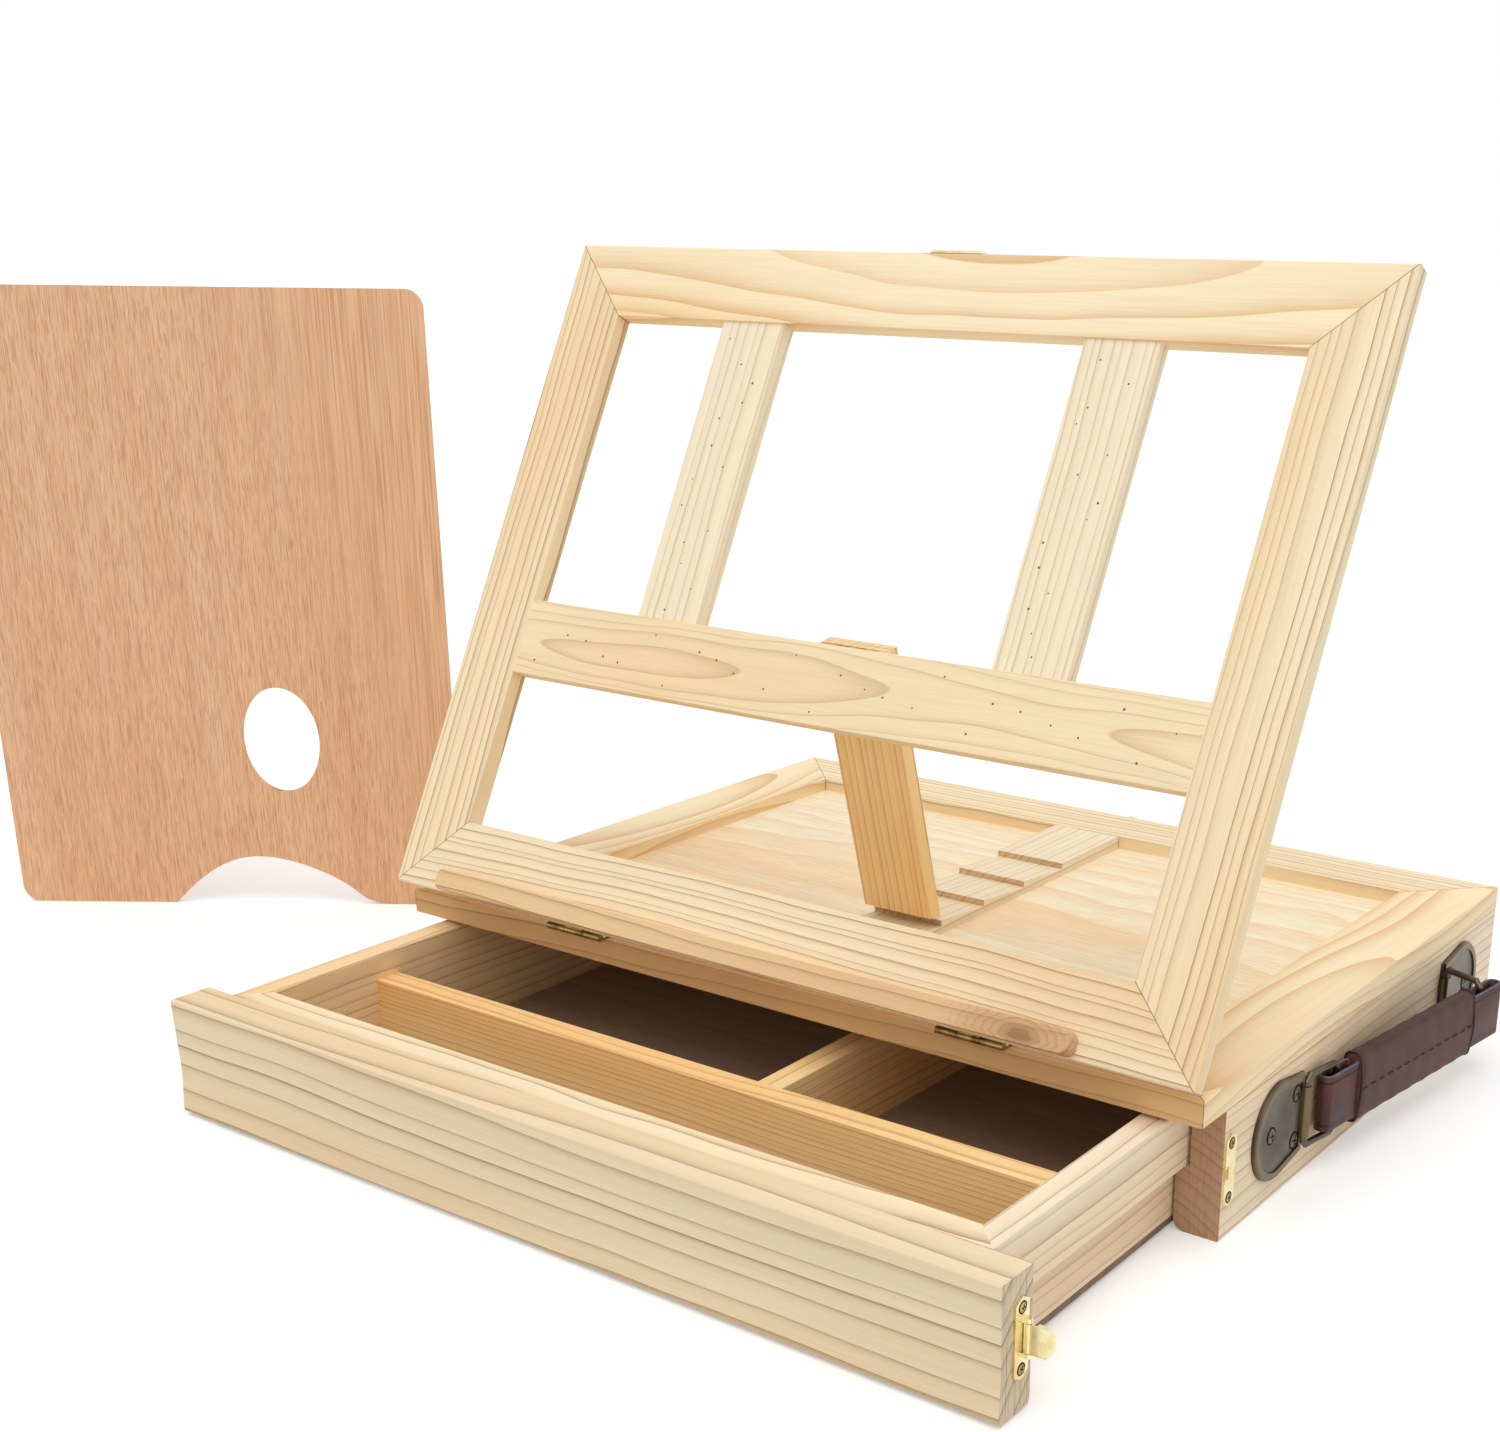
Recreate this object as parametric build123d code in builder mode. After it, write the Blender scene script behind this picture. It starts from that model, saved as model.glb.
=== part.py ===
# Table box easel: a shallow pine case with a drawer, a folding picture frame, a prop leg
# and a ratchet board.
# Millimetres. X runs to the right, Y from front to back, Z up.
# The origin is the middle of the board's outline, on the surface that the case stands on.

import os
from math import cos, radians, sin

from build123d import *

os.makedirs("parts", exist_ok=True)

# Case and board
case_width = 420.0
board_depth = 312.4
board_thickness = 11.6
board_member_width = 36.2
board_overhang = 19.8  # how far the board's front edge stands out past the walls
panel_recess = 6.5
panel_thickness = 3.5
panel_rebate = 8.0
wall_height = 55.2
wall_upper_thickness = 14.0
wall_lower_thickness = 19.8
runner_height = 28.0
wall_toe_radius = 5.0
back_thickness = 12.0
eased_edge = 0.9
lightly_eased_edge = 0.45

# Ratchet board
ratchet_width = 38.0
ratchet_back = 119.6
ratchet_land = 62.0
ratchet_pitch = 36.0
ratchet_notches = 4
notch_depth = 3.0

# Drawer
drawer_opening = 138.0  # how far the drawer is pulled out at rest
closing_gap = 0.4
face_thickness = 19.4
face_bottom = 1.2
face_height = 52.3
face_crease_height = 19.4
face_crease_depth = 1.3
face_toe_radius = 2.0
drawer_board = 12.4
side_upper_thickness = 12.0
side_lower_thickness = 6.6
side_running_gap = 1.8
runner_gap = 0.3
drawer_base_height = 4.8
drawer_base_thickness = 3.0
divider_thickness = 12.4
divider_height = 37.1
front_compartment = 56.1
cross_divider_middle = 36.2
drawer_tail_gap = 0.4

# Picture frame
frame_tilt = 62.5  # degrees above the board at rest
frame_width = 420.8
frame_length = 318.0
frame_thickness = 8.7
frame_member_width = 34.5
frame_gap = 2.5  # between the folded frame and the board
mid_rail_bottom = 107.5
mid_rail_width = 35.5
batten_width = 35.0
batten_spread = 94.6
batten_thickness = 7.7
ledge_length = 338.0
ledge_middle = -9.0
ledge_rise = 0.6
ledge_width = 10.0
ledge_depth = 8.2
ledge_end_radius = 4.0

# Frame hinges
hinge_length = 32.0
hinge_left_middle = -103.8
hinge_right_middle = 108.4
hinge_leaf_width = 11.0
hinge_leaf_thickness = 1.05
hinge_barrel_radius = 1.6
hinge_barrel_gap = 0.6
hinge_pin_radius = 0.8
hinge_leaf_gap = 0.3  # from the barrel to the plate
knuckles = 3
knuckle_gap = 0.2
leaf_screw_share = 0.6  # where the screws stand across a leaf
pin_clearance = 0.05

# Prop leg and its hinge
leg_width = 36.0
leg_thickness = 9.0
leg_length = 137.0
leg_foot_bevel = 4.0
leg_lean = 74.6  # degrees below the horizontal at rest
leg_head_gap = 1.2
prop_hinge_length = 30.0
prop_leaf_width = 10.0
prop_leaf_thickness = 0.7
prop_barrel_radius = 1.2
prop_pin_radius = 0.6
prop_barrel_set_in = 0.15  # how far the barrel stands in past the rail's back
prop_pin_above_rail = 1.6
prop_leaf_set_back = 0.2  # from the rail's edge to the plate

# Brass catches
catch_length = 31.0
catch_width = 8.4
catch_plate_thickness = 1.0
catch_lug_length = 1.67
keeper_edge_gap = 0.3  # from the keeper plate to the wall's front end
catch_point = 2.2  # how far the pointed ends of a plate stand out
catch_axis_height = 2.6
catch_axis_shift = 1.6  # from the middle of the plate to the arm's pin
catch_pin_radius = 0.6
catch_knuckle_radius = 1.3
catch_arm_width = 11.0
catch_arm_length = 9.4
catch_arm_clip = 2.4
catch_skin_rise = 0.3  # from the pin's middle to the inside of the tongue
catch_skin_thickness = 0.7
catch_rim_start = 3.2
catch_rim_depth = 1.6
catch_rim_thickness = 0.7
hook_gap = 0.35  # between the closed tongue and the hook
hook_width = 4.6
hook_thickness = 1.2
hook_crown = 0.5
catch_screw_spacing = 23.0
drawer_catch_setback = 7.6  # from the back of the drawer face to the middle of the plate
drawer_catch_height = 29.5
frame_catch_middle = 4.0
frame_arm_lift = 16.0  # degrees that the loose arm stands above the frame's edge

# Flush screws, drawn as the cross recess that shows in each head
cross_length = 2.2
cross_width = 0.5
cross_depth = 0.5
small_screw_scale = 0.72

# Carrying handle
handle_height = 30.5
handle_pivot_front = -67.0
handle_pivot_rear = 85.5
plate_length = 45.0
plate_height = 42.0
plate_flat_height = 35.0
plate_thickness = 2.2
plate_rim = 3.6
plate_field_depth = 0.7
plate_bevel = 0.9
plate_screw_set_in = 7.5
plate_screw_rise = 10.4
plate_screw_far = 30.0
ring_wire_radius = 1.5
ring_reach = 21.0
ring_height = 31.0
ring_corner = 2.4  # how much of each side the bend takes
ring_knuckle_radius = 2.2
ring_knuckle_length = 22.4
ring_axis_height = 2.3
front_ring_angle = 10.0  # degrees out from the wall
rear_ring_angle = 68.0
strap_loop_height = 25.0
strap_loop_thickness = 7.5
strap_slot_thickness = 4.4
strap_front_tail = 9.0
strap_rear_tail = 19.0
strap_leather = 1.6
strap_cover_height = 31.0
strap_cover_thickness = 8.0
strap_cover_set_in = 13.0
strap_cover_rear_set_in = 8.0
strap_edge_radius = 2.4

# Palette
palette_width = 250.0
palette_height = 333.0
palette_thickness = 3.5
palette_corner_radius = 9.5
palette_arch_start = 86.0
palette_arch_peak = 136.0
palette_arch_height = 27.8
palette_arch_fall = (188.0, 8.6)
palette_lobe_bottom = 217.0
palette_lobe_rise = 32.0
palette_thumb_across = 154.5
palette_thumb_up = 95.1
palette_thumb_radii = (21.3, 29.5)
palette_turn = 34.5  # degrees that the standing palette is turned about the vertical
palette_left_corner = (-528.0, -166.0)

# Places that follow from the sizes above
half_width = case_width / 2
board_front = -board_depth / 2
board_back = board_depth / 2
board_top = wall_height + board_thickness
panel_top = board_top - panel_recess
wall_front = board_front + board_overhang
back_inner = board_back - back_thickness
wall_upper_inner = half_width - wall_upper_thickness
wall_lower_inner = half_width - wall_lower_thickness


def save(builder, name):
    builder.part.label = name
    export_step(builder.part, "parts/" + name + ".step")


def turned(plane, angle):
    """The plane turned about its own X axis by an angle in degrees."""
    turn_angle = radians(angle)
    return Plane(
        plane.origin, x_dir=plane.x_dir, z_dir=plane.z_dir * cos(turn_angle) - plane.y_dir * sin(turn_angle)
    )


# Case walls: one stepped board each side, whose ledge carries the drawer
for side, name in ((-1, "case_wall_left"), (1, "case_wall_right")):
    with BuildPart() as case_wall:
        with BuildSketch(Plane.XZ.offset(-wall_front)):
            with BuildLine():
                Polyline(
                    (side * half_width, 0),
                    (side * wall_lower_inner, 0),
                    (side * wall_lower_inner, runner_height),
                    (side * wall_upper_inner, runner_height),
                    (side * wall_upper_inner, wall_height),
                    (side * half_width, wall_height),
                    close=True,
                )
            make_face()
        extrude(amount=-(board_back - wall_front))
        bottom_edges = case_wall.edges().filter_by(Axis.Y).group_by(Axis.Z)[0].sort_by(Axis.X)
        if side < 0:
            bottom_edges.reverse()
        fillet(bottom_edges[0], wall_toe_radius)
        fillet(bottom_edges[-1], eased_edge)
    save(case_wall, name)

# Back of the case, let in between the walls
with BuildPart() as case_back:
    with BuildSketch(Plane.XZ.offset(-back_inner)):
        with Locations((0, runner_height / 2)):
            Rectangle(2 * wall_lower_inner, runner_height)
        with Locations((0, (runner_height + wall_height) / 2)):
            Rectangle(2 * wall_upper_inner, wall_height - runner_height)
    extrude(amount=-back_thickness)
save(case_back, "case_back")

# Board: four mitred members round a recessed panel, rebated underneath
inner_x = half_width - board_member_width
inner_y = board_back - board_member_width
board_outline = {
    "board_rail_front": (
        (-half_width, board_front), (half_width, board_front), (inner_x, -inner_y), (-inner_x, -inner_y)
    ),
    "board_rail_back": (
        (half_width, board_back), (-half_width, board_back), (-inner_x, inner_y), (inner_x, inner_y)
    ),
    "board_stile_left": (
        (-half_width, board_back), (-half_width, board_front), (-inner_x, -inner_y), (-inner_x, inner_y)
    ),
    "board_stile_right": (
        (half_width, board_front), (half_width, board_back), (inner_x, inner_y), (inner_x, -inner_y)
    ),
}
for name, corners in board_outline.items():
    with BuildPart() as board_member:
        with BuildSketch(Plane.XY.offset(wall_height)):
            with BuildLine():
                Polyline(*corners, close=True)
            make_face()
        extrude(amount=board_thickness)
        fillet(board_member.edges().group_by(SortBy.LENGTH)[-1], eased_edge)
        with BuildSketch(Plane.XY.offset(wall_height)):
            Rectangle(2 * (inner_x + panel_rebate), 2 * (inner_y + panel_rebate))
        extrude(amount=panel_top - wall_height, mode=Mode.SUBTRACT)
    save(board_member, name)

with BuildPart() as board_panel:
    with BuildSketch(Plane.XY.offset(panel_top - panel_thickness)):
        Rectangle(2 * (inner_x + panel_rebate), 2 * (inner_y + panel_rebate))
    extrude(amount=panel_thickness)
save(board_panel, "board_panel")

# Ratchet board: each tooth has an upright face to the front and a slope down behind it
ratchet_front = ratchet_land - ratchet_notches * ratchet_pitch
ratchet_profile = [(ratchet_back, panel_top), (ratchet_back, board_top)]
for notch in range(ratchet_notches):
    tooth_face = ratchet_land - notch * ratchet_pitch
    ratchet_profile += [(tooth_face, board_top), (tooth_face, board_top - notch_depth)]
ratchet_profile += [(ratchet_front, board_top), (ratchet_front, panel_top)]
with BuildPart() as ratchet_board:
    with BuildSketch(Plane.YZ.offset(-ratchet_width / 2)):
        with BuildLine():
            Polyline(*ratchet_profile, close=True)
        make_face()
    extrude(amount=ratchet_width)
save(ratchet_board, "ratchet_board")

# Drawer, drawn pulled out by drawer_opening
face_back = wall_front - closing_gap - drawer_opening
face_front = face_back - face_thickness
face_top = face_bottom + face_height
drawer_tail = back_inner - drawer_tail_gap - drawer_opening
drawer_upper_outer = wall_upper_inner - side_running_gap
drawer_inner = drawer_upper_outer - side_upper_thickness
drawer_lower_outer = drawer_inner + side_lower_thickness
drawer_step = runner_height + runner_gap
drawer_front_inner = face_back + drawer_board
drawer_back_inner = drawer_tail - drawer_board
long_divider_front = drawer_front_inner + front_compartment
long_divider_back = long_divider_front + divider_thickness

with BuildPart() as drawer_face:
    with BuildSketch(Plane.YZ.offset(-half_width)):
        with BuildLine():
            Polyline(
                (face_back, face_bottom),
                (face_back, face_top),
                (face_front, face_top),
                (face_front + face_crease_depth, face_bottom + face_crease_height),
                (face_front, face_bottom),
                close=True,
            )
        make_face()
    extrude(amount=case_width)
    face_edges = drawer_face.edges().filter_by(Axis.X)
    fillet(face_edges.group_by(Axis.Z)[0], face_toe_radius)
    fillet(drawer_face.edges().filter_by(Axis.X).group_by(Axis.Z)[-1].sort_by(Axis.Y)[0], eased_edge)
save(drawer_face, "drawer_face")

# The drawer's front board meets the sides in mitres
with BuildPart() as drawer_front:
    with BuildSketch(Plane.XY.offset(drawer_base_height)):
        with BuildLine():
            Polyline(
                (-drawer_upper_outer, face_back),
                (drawer_upper_outer, face_back),
                (drawer_inner, drawer_front_inner),
                (-drawer_inner, drawer_front_inner),
                close=True,
            )
        make_face()
    extrude(amount=face_top - drawer_base_height)
    with BuildSketch(Plane.XY.offset(drawer_base_height)):
        Rectangle(2 * drawer_upper_outer, -2 * face_back)
        Rectangle(2 * drawer_lower_outer, -2 * face_back, mode=Mode.SUBTRACT)
    extrude(amount=drawer_step - drawer_base_height, mode=Mode.SUBTRACT)
save(drawer_front, "drawer_front")

with BuildPart() as drawer_back:
    with BuildSketch(Plane.XY.offset(drawer_base_height)):
        with Locations((0, (drawer_tail + drawer_back_inner) / 2)):
            Rectangle(2 * drawer_inner, drawer_board)
    extrude(amount=face_top - drawer_base_height)
save(drawer_back, "drawer_back")

for side, name in ((-1, "drawer_side_left"), (1, "drawer_side_right")):
    with BuildPart() as drawer_side:
        with BuildSketch(Plane.XZ.offset(-face_back)):
            with BuildLine():
                Polyline(
                    (side * drawer_inner, drawer_base_height),
                    (side * drawer_lower_outer, drawer_base_height),
                    (side * drawer_lower_outer, drawer_step),
                    (side * drawer_upper_outer, drawer_step),
                    (side * drawer_upper_outer, face_top),
                    (side * drawer_inner, face_top),
                    close=True,
                )
            make_face()
        extrude(amount=-(drawer_tail - face_back))
        fillet(drawer_side.edges().filter_by(Axis.Y).group_by(Axis.Z)[-1], eased_edge)
        with BuildSketch(Plane.XY.offset(drawer_base_height)):
            with BuildLine():
                Polyline(
                    (side * drawer_inner, face_back),
                    (side * drawer_upper_outer, face_back),
                    (side * drawer_inner, drawer_front_inner),
                    close=True,
                )
            make_face()
        extrude(amount=face_top - drawer_base_height, mode=Mode.SUBTRACT)
    save(drawer_side, name)

with BuildPart() as drawer_bottom:
    with BuildSketch(Plane.XY.offset(drawer_base_height - drawer_base_thickness)):
        with Locations((0, (face_back + drawer_tail) / 2)):
            Rectangle(2 * drawer_lower_outer, drawer_tail - face_back)
    extrude(amount=drawer_base_thickness)
save(drawer_bottom, "drawer_bottom")

with BuildPart() as divider_long:
    with BuildSketch(Plane.XY.offset(drawer_base_height)):
        with Locations((0, (long_divider_front + long_divider_back) / 2)):
            Rectangle(2 * drawer_inner, divider_thickness)
    extrude(amount=divider_height)
save(divider_long, "divider_long")

with BuildPart() as divider_cross:
    with BuildSketch(Plane.XY.offset(drawer_base_height)):
        with Locations((cross_divider_middle, (long_divider_back + drawer_back_inner) / 2)):
            Rectangle(divider_thickness, drawer_back_inner - long_divider_back)
    extrude(amount=divider_height)
save(divider_cross, "divider_cross")

# Frame plane: local X is along the hinge pin, local Y runs up the frame, local Z is out of its front
pin_y = board_front - hinge_barrel_radius - hinge_barrel_gap
pin_z = board_top + frame_gap / 2
frame_plane = turned(Plane((0, pin_y, pin_z)), frame_tilt)
frame_back = frame_gap / 2
frame_front = frame_back + frame_thickness
frame_foot = hinge_barrel_radius
frame_head = frame_foot + frame_length
frame_half = frame_width / 2
opening_half = frame_half - frame_member_width
opening_low = frame_foot + frame_member_width
opening_high = frame_head - frame_member_width
mid_rail_low = frame_foot + mid_rail_bottom
mid_rail_high = mid_rail_low + mid_rail_width

frame_outline = {
    "frame_rail_bottom": (
        (-frame_half, frame_foot), (frame_half, frame_foot),
        (opening_half, opening_low), (-opening_half, opening_low),
    ),
    "frame_rail_top": (
        (frame_half, frame_head), (-frame_half, frame_head),
        (-opening_half, opening_high), (opening_half, opening_high),
    ),
    "frame_stile_left": (
        (-frame_half, frame_head), (-frame_half, frame_foot),
        (-opening_half, opening_low), (-opening_half, opening_high),
    ),
    "frame_stile_right": (
        (frame_half, frame_foot), (frame_half, frame_head),
        (opening_half, opening_high), (opening_half, opening_low),
    ),
}
for name, corners in frame_outline.items():
    with BuildPart() as frame_member:
        with BuildSketch(frame_plane.offset(frame_back)):
            with BuildLine():
                Polyline(*corners, close=True)
            make_face()
        extrude(amount=frame_thickness)
        fillet(frame_member.edges().group_by(SortBy.LENGTH)[-1], eased_edge)
    save(frame_member, name)

with BuildPart() as mid_rail:
    with BuildSketch(frame_plane.offset(frame_back)):
        with Locations((0, (mid_rail_low + mid_rail_high) / 2)):
            Rectangle(2 * opening_half, mid_rail_width)
    extrude(amount=frame_thickness)
    fillet(mid_rail.edges().group_by(SortBy.LENGTH)[-1], lightly_eased_edge)
save(mid_rail, "mid_rail")

for side, name in ((-1, "batten_left"), (1, "batten_right")):
    with BuildPart() as batten:
        with BuildSketch(frame_plane.offset(frame_back)):
            with Locations((side * batten_spread, (mid_rail_high + opening_high) / 2)):
                Rectangle(batten_width, opening_high - mid_rail_high)
        extrude(amount=batten_thickness)
        fillet(batten.edges().group_by(SortBy.LENGTH)[-1], lightly_eased_edge)
    save(batten, name)

frame_out = Axis((0, 0, 0), frame_plane.z_dir)
with BuildPart() as canvas_ledge:
    with BuildSketch(frame_plane.offset(frame_front)):
        with Locations((ledge_middle, frame_foot + ledge_rise + ledge_width / 2)):
            RectangleRounded(ledge_length, ledge_width, ledge_end_radius)
    extrude(amount=ledge_depth)
    chamfer(canvas_ledge.faces().sort_by(frame_out)[-1].edges(), lightly_eased_edge)
save(canvas_ledge, "canvas_ledge")


# Screws: the heads are flush and one with the plate, so each is drawn by its recess alone
def screw_cross(scale=1.0):
    """Cut the cross recess of one screw head at each current location."""
    top = (Align.CENTER, Align.CENTER, Align.MAX)
    long_side, short_side, depth = cross_length * scale, cross_width * scale, cross_depth * scale
    Box(long_side, short_side, depth, align=top, mode=Mode.SUBTRACT)
    Box(short_side, long_side, depth, align=top, mode=Mode.SUBTRACT)


def spots(plane, points, height=0.0, facing=1):
    """Locations on a plane at a height above it, looking out of it or, with facing -1, into it."""
    places = []
    for across, along in points:
        origin = plane.from_local_coords(Vector(across, along, height))
        places.append(Plane(origin, x_dir=plane.x_dir, z_dir=plane.z_dir * facing).location)
    return places


def cross_plane(plane, across):
    """A plane square to the local X axis: its own axes are the local Y and Z."""
    return Plane(plane.from_local_coords(Vector(across, 0, 0)), x_dir=plane.y_dir, z_dir=plane.x_dir)


# Butt hinges: a plate and every second knuckle on one leaf, the rest on the other
def hinge_leaf(plane, length, count, first, barrel, pin, start, end, low, high, screws, facing):
    """One leaf on a plane whose X is the pin; the plate lies between low and high."""
    pitch = length / count
    with BuildPart() as leaf:
        with BuildSketch(plane.offset(low)):
            with Locations((0, (start + end) / 2)):
                Rectangle(length, end - start)
        extrude(amount=high - low)
        for index in range(first, count, 2):
            knuckle_plane = cross_plane(plane, -length / 2 + index * pitch + knuckle_gap / 2)
            with BuildSketch(knuckle_plane):
                Circle(barrel)
                with Locations((start / 2, (low + high) / 2)):
                    Rectangle(start, high - low)
                Circle(pin + pin_clearance, mode=Mode.SUBTRACT)
            extrude(amount=pitch - knuckle_gap)
        with Locations(*spots(plane, screws, high if facing > 0 else low, facing)):
            screw_cross(small_screw_scale)
    return leaf


hinge_middles = {"left": hinge_left_middle, "right": hinge_right_middle}
hinge_screw_points = [
    (-hinge_length / 3, hinge_leaf_width * leaf_screw_share),
    (hinge_length / 3, hinge_leaf_width * leaf_screw_share),
]
leaf_start = hinge_barrel_radius + hinge_leaf_gap
leaf_low = -frame_gap / 2
leaf_high = leaf_low + hinge_leaf_thickness
board_hinge_plane = Plane((0, pin_y, pin_z))
for name, middle in hinge_middles.items():
    lower_plane = Plane((middle, pin_y, pin_z))
    lower_leaf = hinge_leaf(
        lower_plane, hinge_length, knuckles, 0, hinge_barrel_radius, hinge_pin_radius,
        leaf_start, leaf_start + hinge_leaf_width, leaf_low, leaf_high, hinge_screw_points, 1,
    )
    save(lower_leaf, "hinge_lower_leaf_" + name)
    upper_plane = turned(lower_plane, frame_tilt)
    upper_leaf = hinge_leaf(
        upper_plane, hinge_length, knuckles, 1, hinge_barrel_radius, hinge_pin_radius,
        leaf_start, leaf_start + hinge_leaf_width, frame_back - hinge_leaf_thickness, frame_back,
        hinge_screw_points, -1,
    )
    save(upper_leaf, "hinge_upper_leaf_" + name)

with BuildPart() as hinge_pins:
    for middle in hinge_middles.values():
        with BuildSketch(cross_plane(board_hinge_plane, middle - hinge_length / 2)):
            Circle(hinge_pin_radius)
        extrude(amount=hinge_length)
save(hinge_pins, "hinge_pins")

# Prop leg, hinged to the back of the middle rail
prop_pin_low = frame_back - prop_barrel_radius + prop_barrel_set_in
prop_pin = frame_plane.from_local_coords(Vector(0, mid_rail_high + prop_pin_above_rail, prop_pin_low))
leg_face = frame_back - prop_pin_low
lean = radians(leg_lean)
leg_plane = Plane(prop_pin, x_dir=(1, 0, 0), z_dir=(0, sin(lean), cos(lean)))
rail_plane = Plane(prop_pin, x_dir=(-1, 0, 0), z_dir=frame_plane.z_dir)
with BuildPart() as prop_leg:
    with BuildSketch(cross_plane(leg_plane, -leg_width / 2)):
        with BuildLine():
            Polyline(
                (leg_head_gap, leg_face),
                (leg_length - leg_foot_bevel, leg_face),
                (leg_length, leg_face + leg_thickness),
                (leg_head_gap, leg_face + leg_thickness),
                close=True,
            )
        make_face()
    extrude(amount=leg_width)
    fillet(prop_leg.edges().group_by(SortBy.LENGTH)[-1], lightly_eased_edge)
save(prop_leg, "prop_leg")

prop_leaf_start = prop_pin_above_rail + prop_leaf_set_back
prop_screw_points = [
    (-prop_hinge_length / 3, prop_leaf_width * leaf_screw_share),
    (prop_hinge_length / 3, prop_leaf_width * leaf_screw_share),
]
for plane, first, name in ((rail_plane, 0, "prop_hinge_leaf_rail"), (leg_plane, 1, "prop_hinge_leaf_leg")):
    prop_leaf = hinge_leaf(
        plane, prop_hinge_length, knuckles, first, prop_barrel_radius, prop_pin_radius,
        prop_leaf_start, prop_leaf_start + prop_leaf_width, leg_face - prop_leaf_thickness, leg_face,
        prop_screw_points, -1,
    )
    save(prop_leaf, name)

with BuildPart() as prop_hinge_pin:
    with BuildSketch(cross_plane(leg_plane, -prop_hinge_length / 2)):
        Circle(prop_pin_radius)
    extrude(amount=prop_hinge_length)
save(prop_hinge_pin, "prop_hinge_pin")

# Catches: each has a hinged arm on the moving half and a hooked keeper on the case
catch_screw_points = [(-catch_screw_spacing / 2, 0), (catch_screw_spacing / 2, 0)]
drawer_catch_y = face_back - drawer_catch_setback
drawer_catch_plane = Plane(
    (half_width, drawer_catch_y, drawer_catch_height), x_dir=(0, 0, -1), z_dir=(1, 0, 0)
)
frame_edge_middle = (frame_back + frame_front) / 2
frame_catch_origin = Vector(frame_catch_middle, frame_head, frame_edge_middle)
frame_catch_plane = Plane(
    frame_plane.from_local_coords(frame_catch_origin), x_dir=(1, 0, 0), z_dir=frame_plane.y_dir
)

catch_straight = catch_length / 2 - catch_point
catch_outline = [
    (-catch_straight, -catch_width / 2),
    (catch_straight, -catch_width / 2),
    (catch_length / 2, 0),
    (catch_straight, catch_width / 2),
    (-catch_straight, catch_width / 2),
    (-catch_length / 2, 0),
]


def catch_plate(plane):
    """The plate of an arm half, with two lugs that hold the pin."""
    with BuildPart() as plate:
        with BuildSketch(plane):
            Polygon(*catch_outline, align=None)
        extrude(amount=catch_plate_thickness)
        for side in (-1, 1):
            near = side * (catch_arm_width / 2 + knuckle_gap)
            start = min(near, near + side * catch_lug_length)
            with BuildSketch(cross_plane(plane, start)):
                with Locations((catch_axis_shift, catch_axis_height)):
                    Circle(catch_knuckle_radius)
                with Locations((catch_axis_shift, catch_axis_height / 2)):
                    Rectangle(2 * catch_knuckle_radius, catch_axis_height)
                with Locations((catch_axis_shift, catch_axis_height)):
                    Circle(catch_pin_radius + pin_clearance, mode=Mode.SUBTRACT)
            extrude(amount=catch_lug_length)
        with Locations(*spots(plane, catch_screw_points, catch_plate_thickness)):
            screw_cross()
    return plate


def catch_pin(plane):
    """The pin that the arm turns on."""
    reach = catch_arm_width / 2 + knuckle_gap + catch_lug_length
    with BuildPart() as pin:
        with BuildSketch(cross_plane(plane, -reach)):
            with Locations((catch_axis_shift, catch_axis_height)):
                Circle(catch_pin_radius)
        extrude(amount=2 * reach)
    return pin


def tongue_outline(inset, start):
    """Corners of the tongue seen from outside, clipped at the far end and set in by a rim."""
    half = catch_arm_width / 2 - inset
    far = catch_arm_length - inset
    return [
        (-half, start),
        (half, start),
        (half, far - catch_arm_clip),
        (half - catch_arm_clip, far),
        (catch_arm_clip - half, far),
        (-half, far - catch_arm_clip),
    ]


def catch_arm(plane, angle):
    """The pressed tongue, turned up from its closed place; its rim drops over the hook."""
    axis_origin = plane.from_local_coords(Vector(0, catch_axis_shift, catch_axis_height))
    axis_plane = turned(Plane(axis_origin, x_dir=plane.x_dir, z_dir=plane.z_dir), angle)
    with BuildPart() as arm:
        with BuildSketch(axis_plane.offset(catch_skin_rise)):
            Polygon(*tongue_outline(0, 0), align=None)
        extrude(amount=catch_skin_thickness)
        with BuildSketch(axis_plane.offset(catch_skin_rise - catch_rim_depth)):
            Polygon(*tongue_outline(0, catch_rim_start), align=None)
        extrude(amount=catch_rim_depth)
        with BuildSketch(axis_plane.offset(catch_skin_rise - catch_rim_depth)):
            Polygon(*tongue_outline(catch_rim_thickness, 0), align=None)
        extrude(amount=catch_rim_depth, mode=Mode.SUBTRACT)
        with BuildSketch(cross_plane(axis_plane, -catch_arm_width / 2)):
            Circle(catch_knuckle_radius)
        extrude(amount=catch_arm_width)
        with BuildSketch(cross_plane(axis_plane, -catch_arm_width / 2)):
            Circle(catch_pin_radius + pin_clearance)
        extrude(amount=catch_arm_width, mode=Mode.SUBTRACT)
    return arm


def keeper(plane, hook_place, height):
    """A plate with a hook that the tongue's rim closes over."""
    with BuildPart() as plate:
        with BuildSketch(plane):
            Polygon(*catch_outline, align=None)
        extrude(amount=catch_plate_thickness)
        with BuildSketch(cross_plane(plane, -hook_width / 2)):
            with Locations((hook_place, height / 2)):
                Rectangle(hook_thickness, height)
        extrude(amount=hook_width)
        hook_top = plate.faces().sort_by(Axis((0, 0, 0), plane.z_dir))[-1]
        fillet(hook_top.edges().filter_by(Axis((0, 0, 0), plane.x_dir)), hook_crown)
        with Locations(*spots(plane, catch_screw_points, catch_plate_thickness)):
            screw_cross()
    return plate


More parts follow.
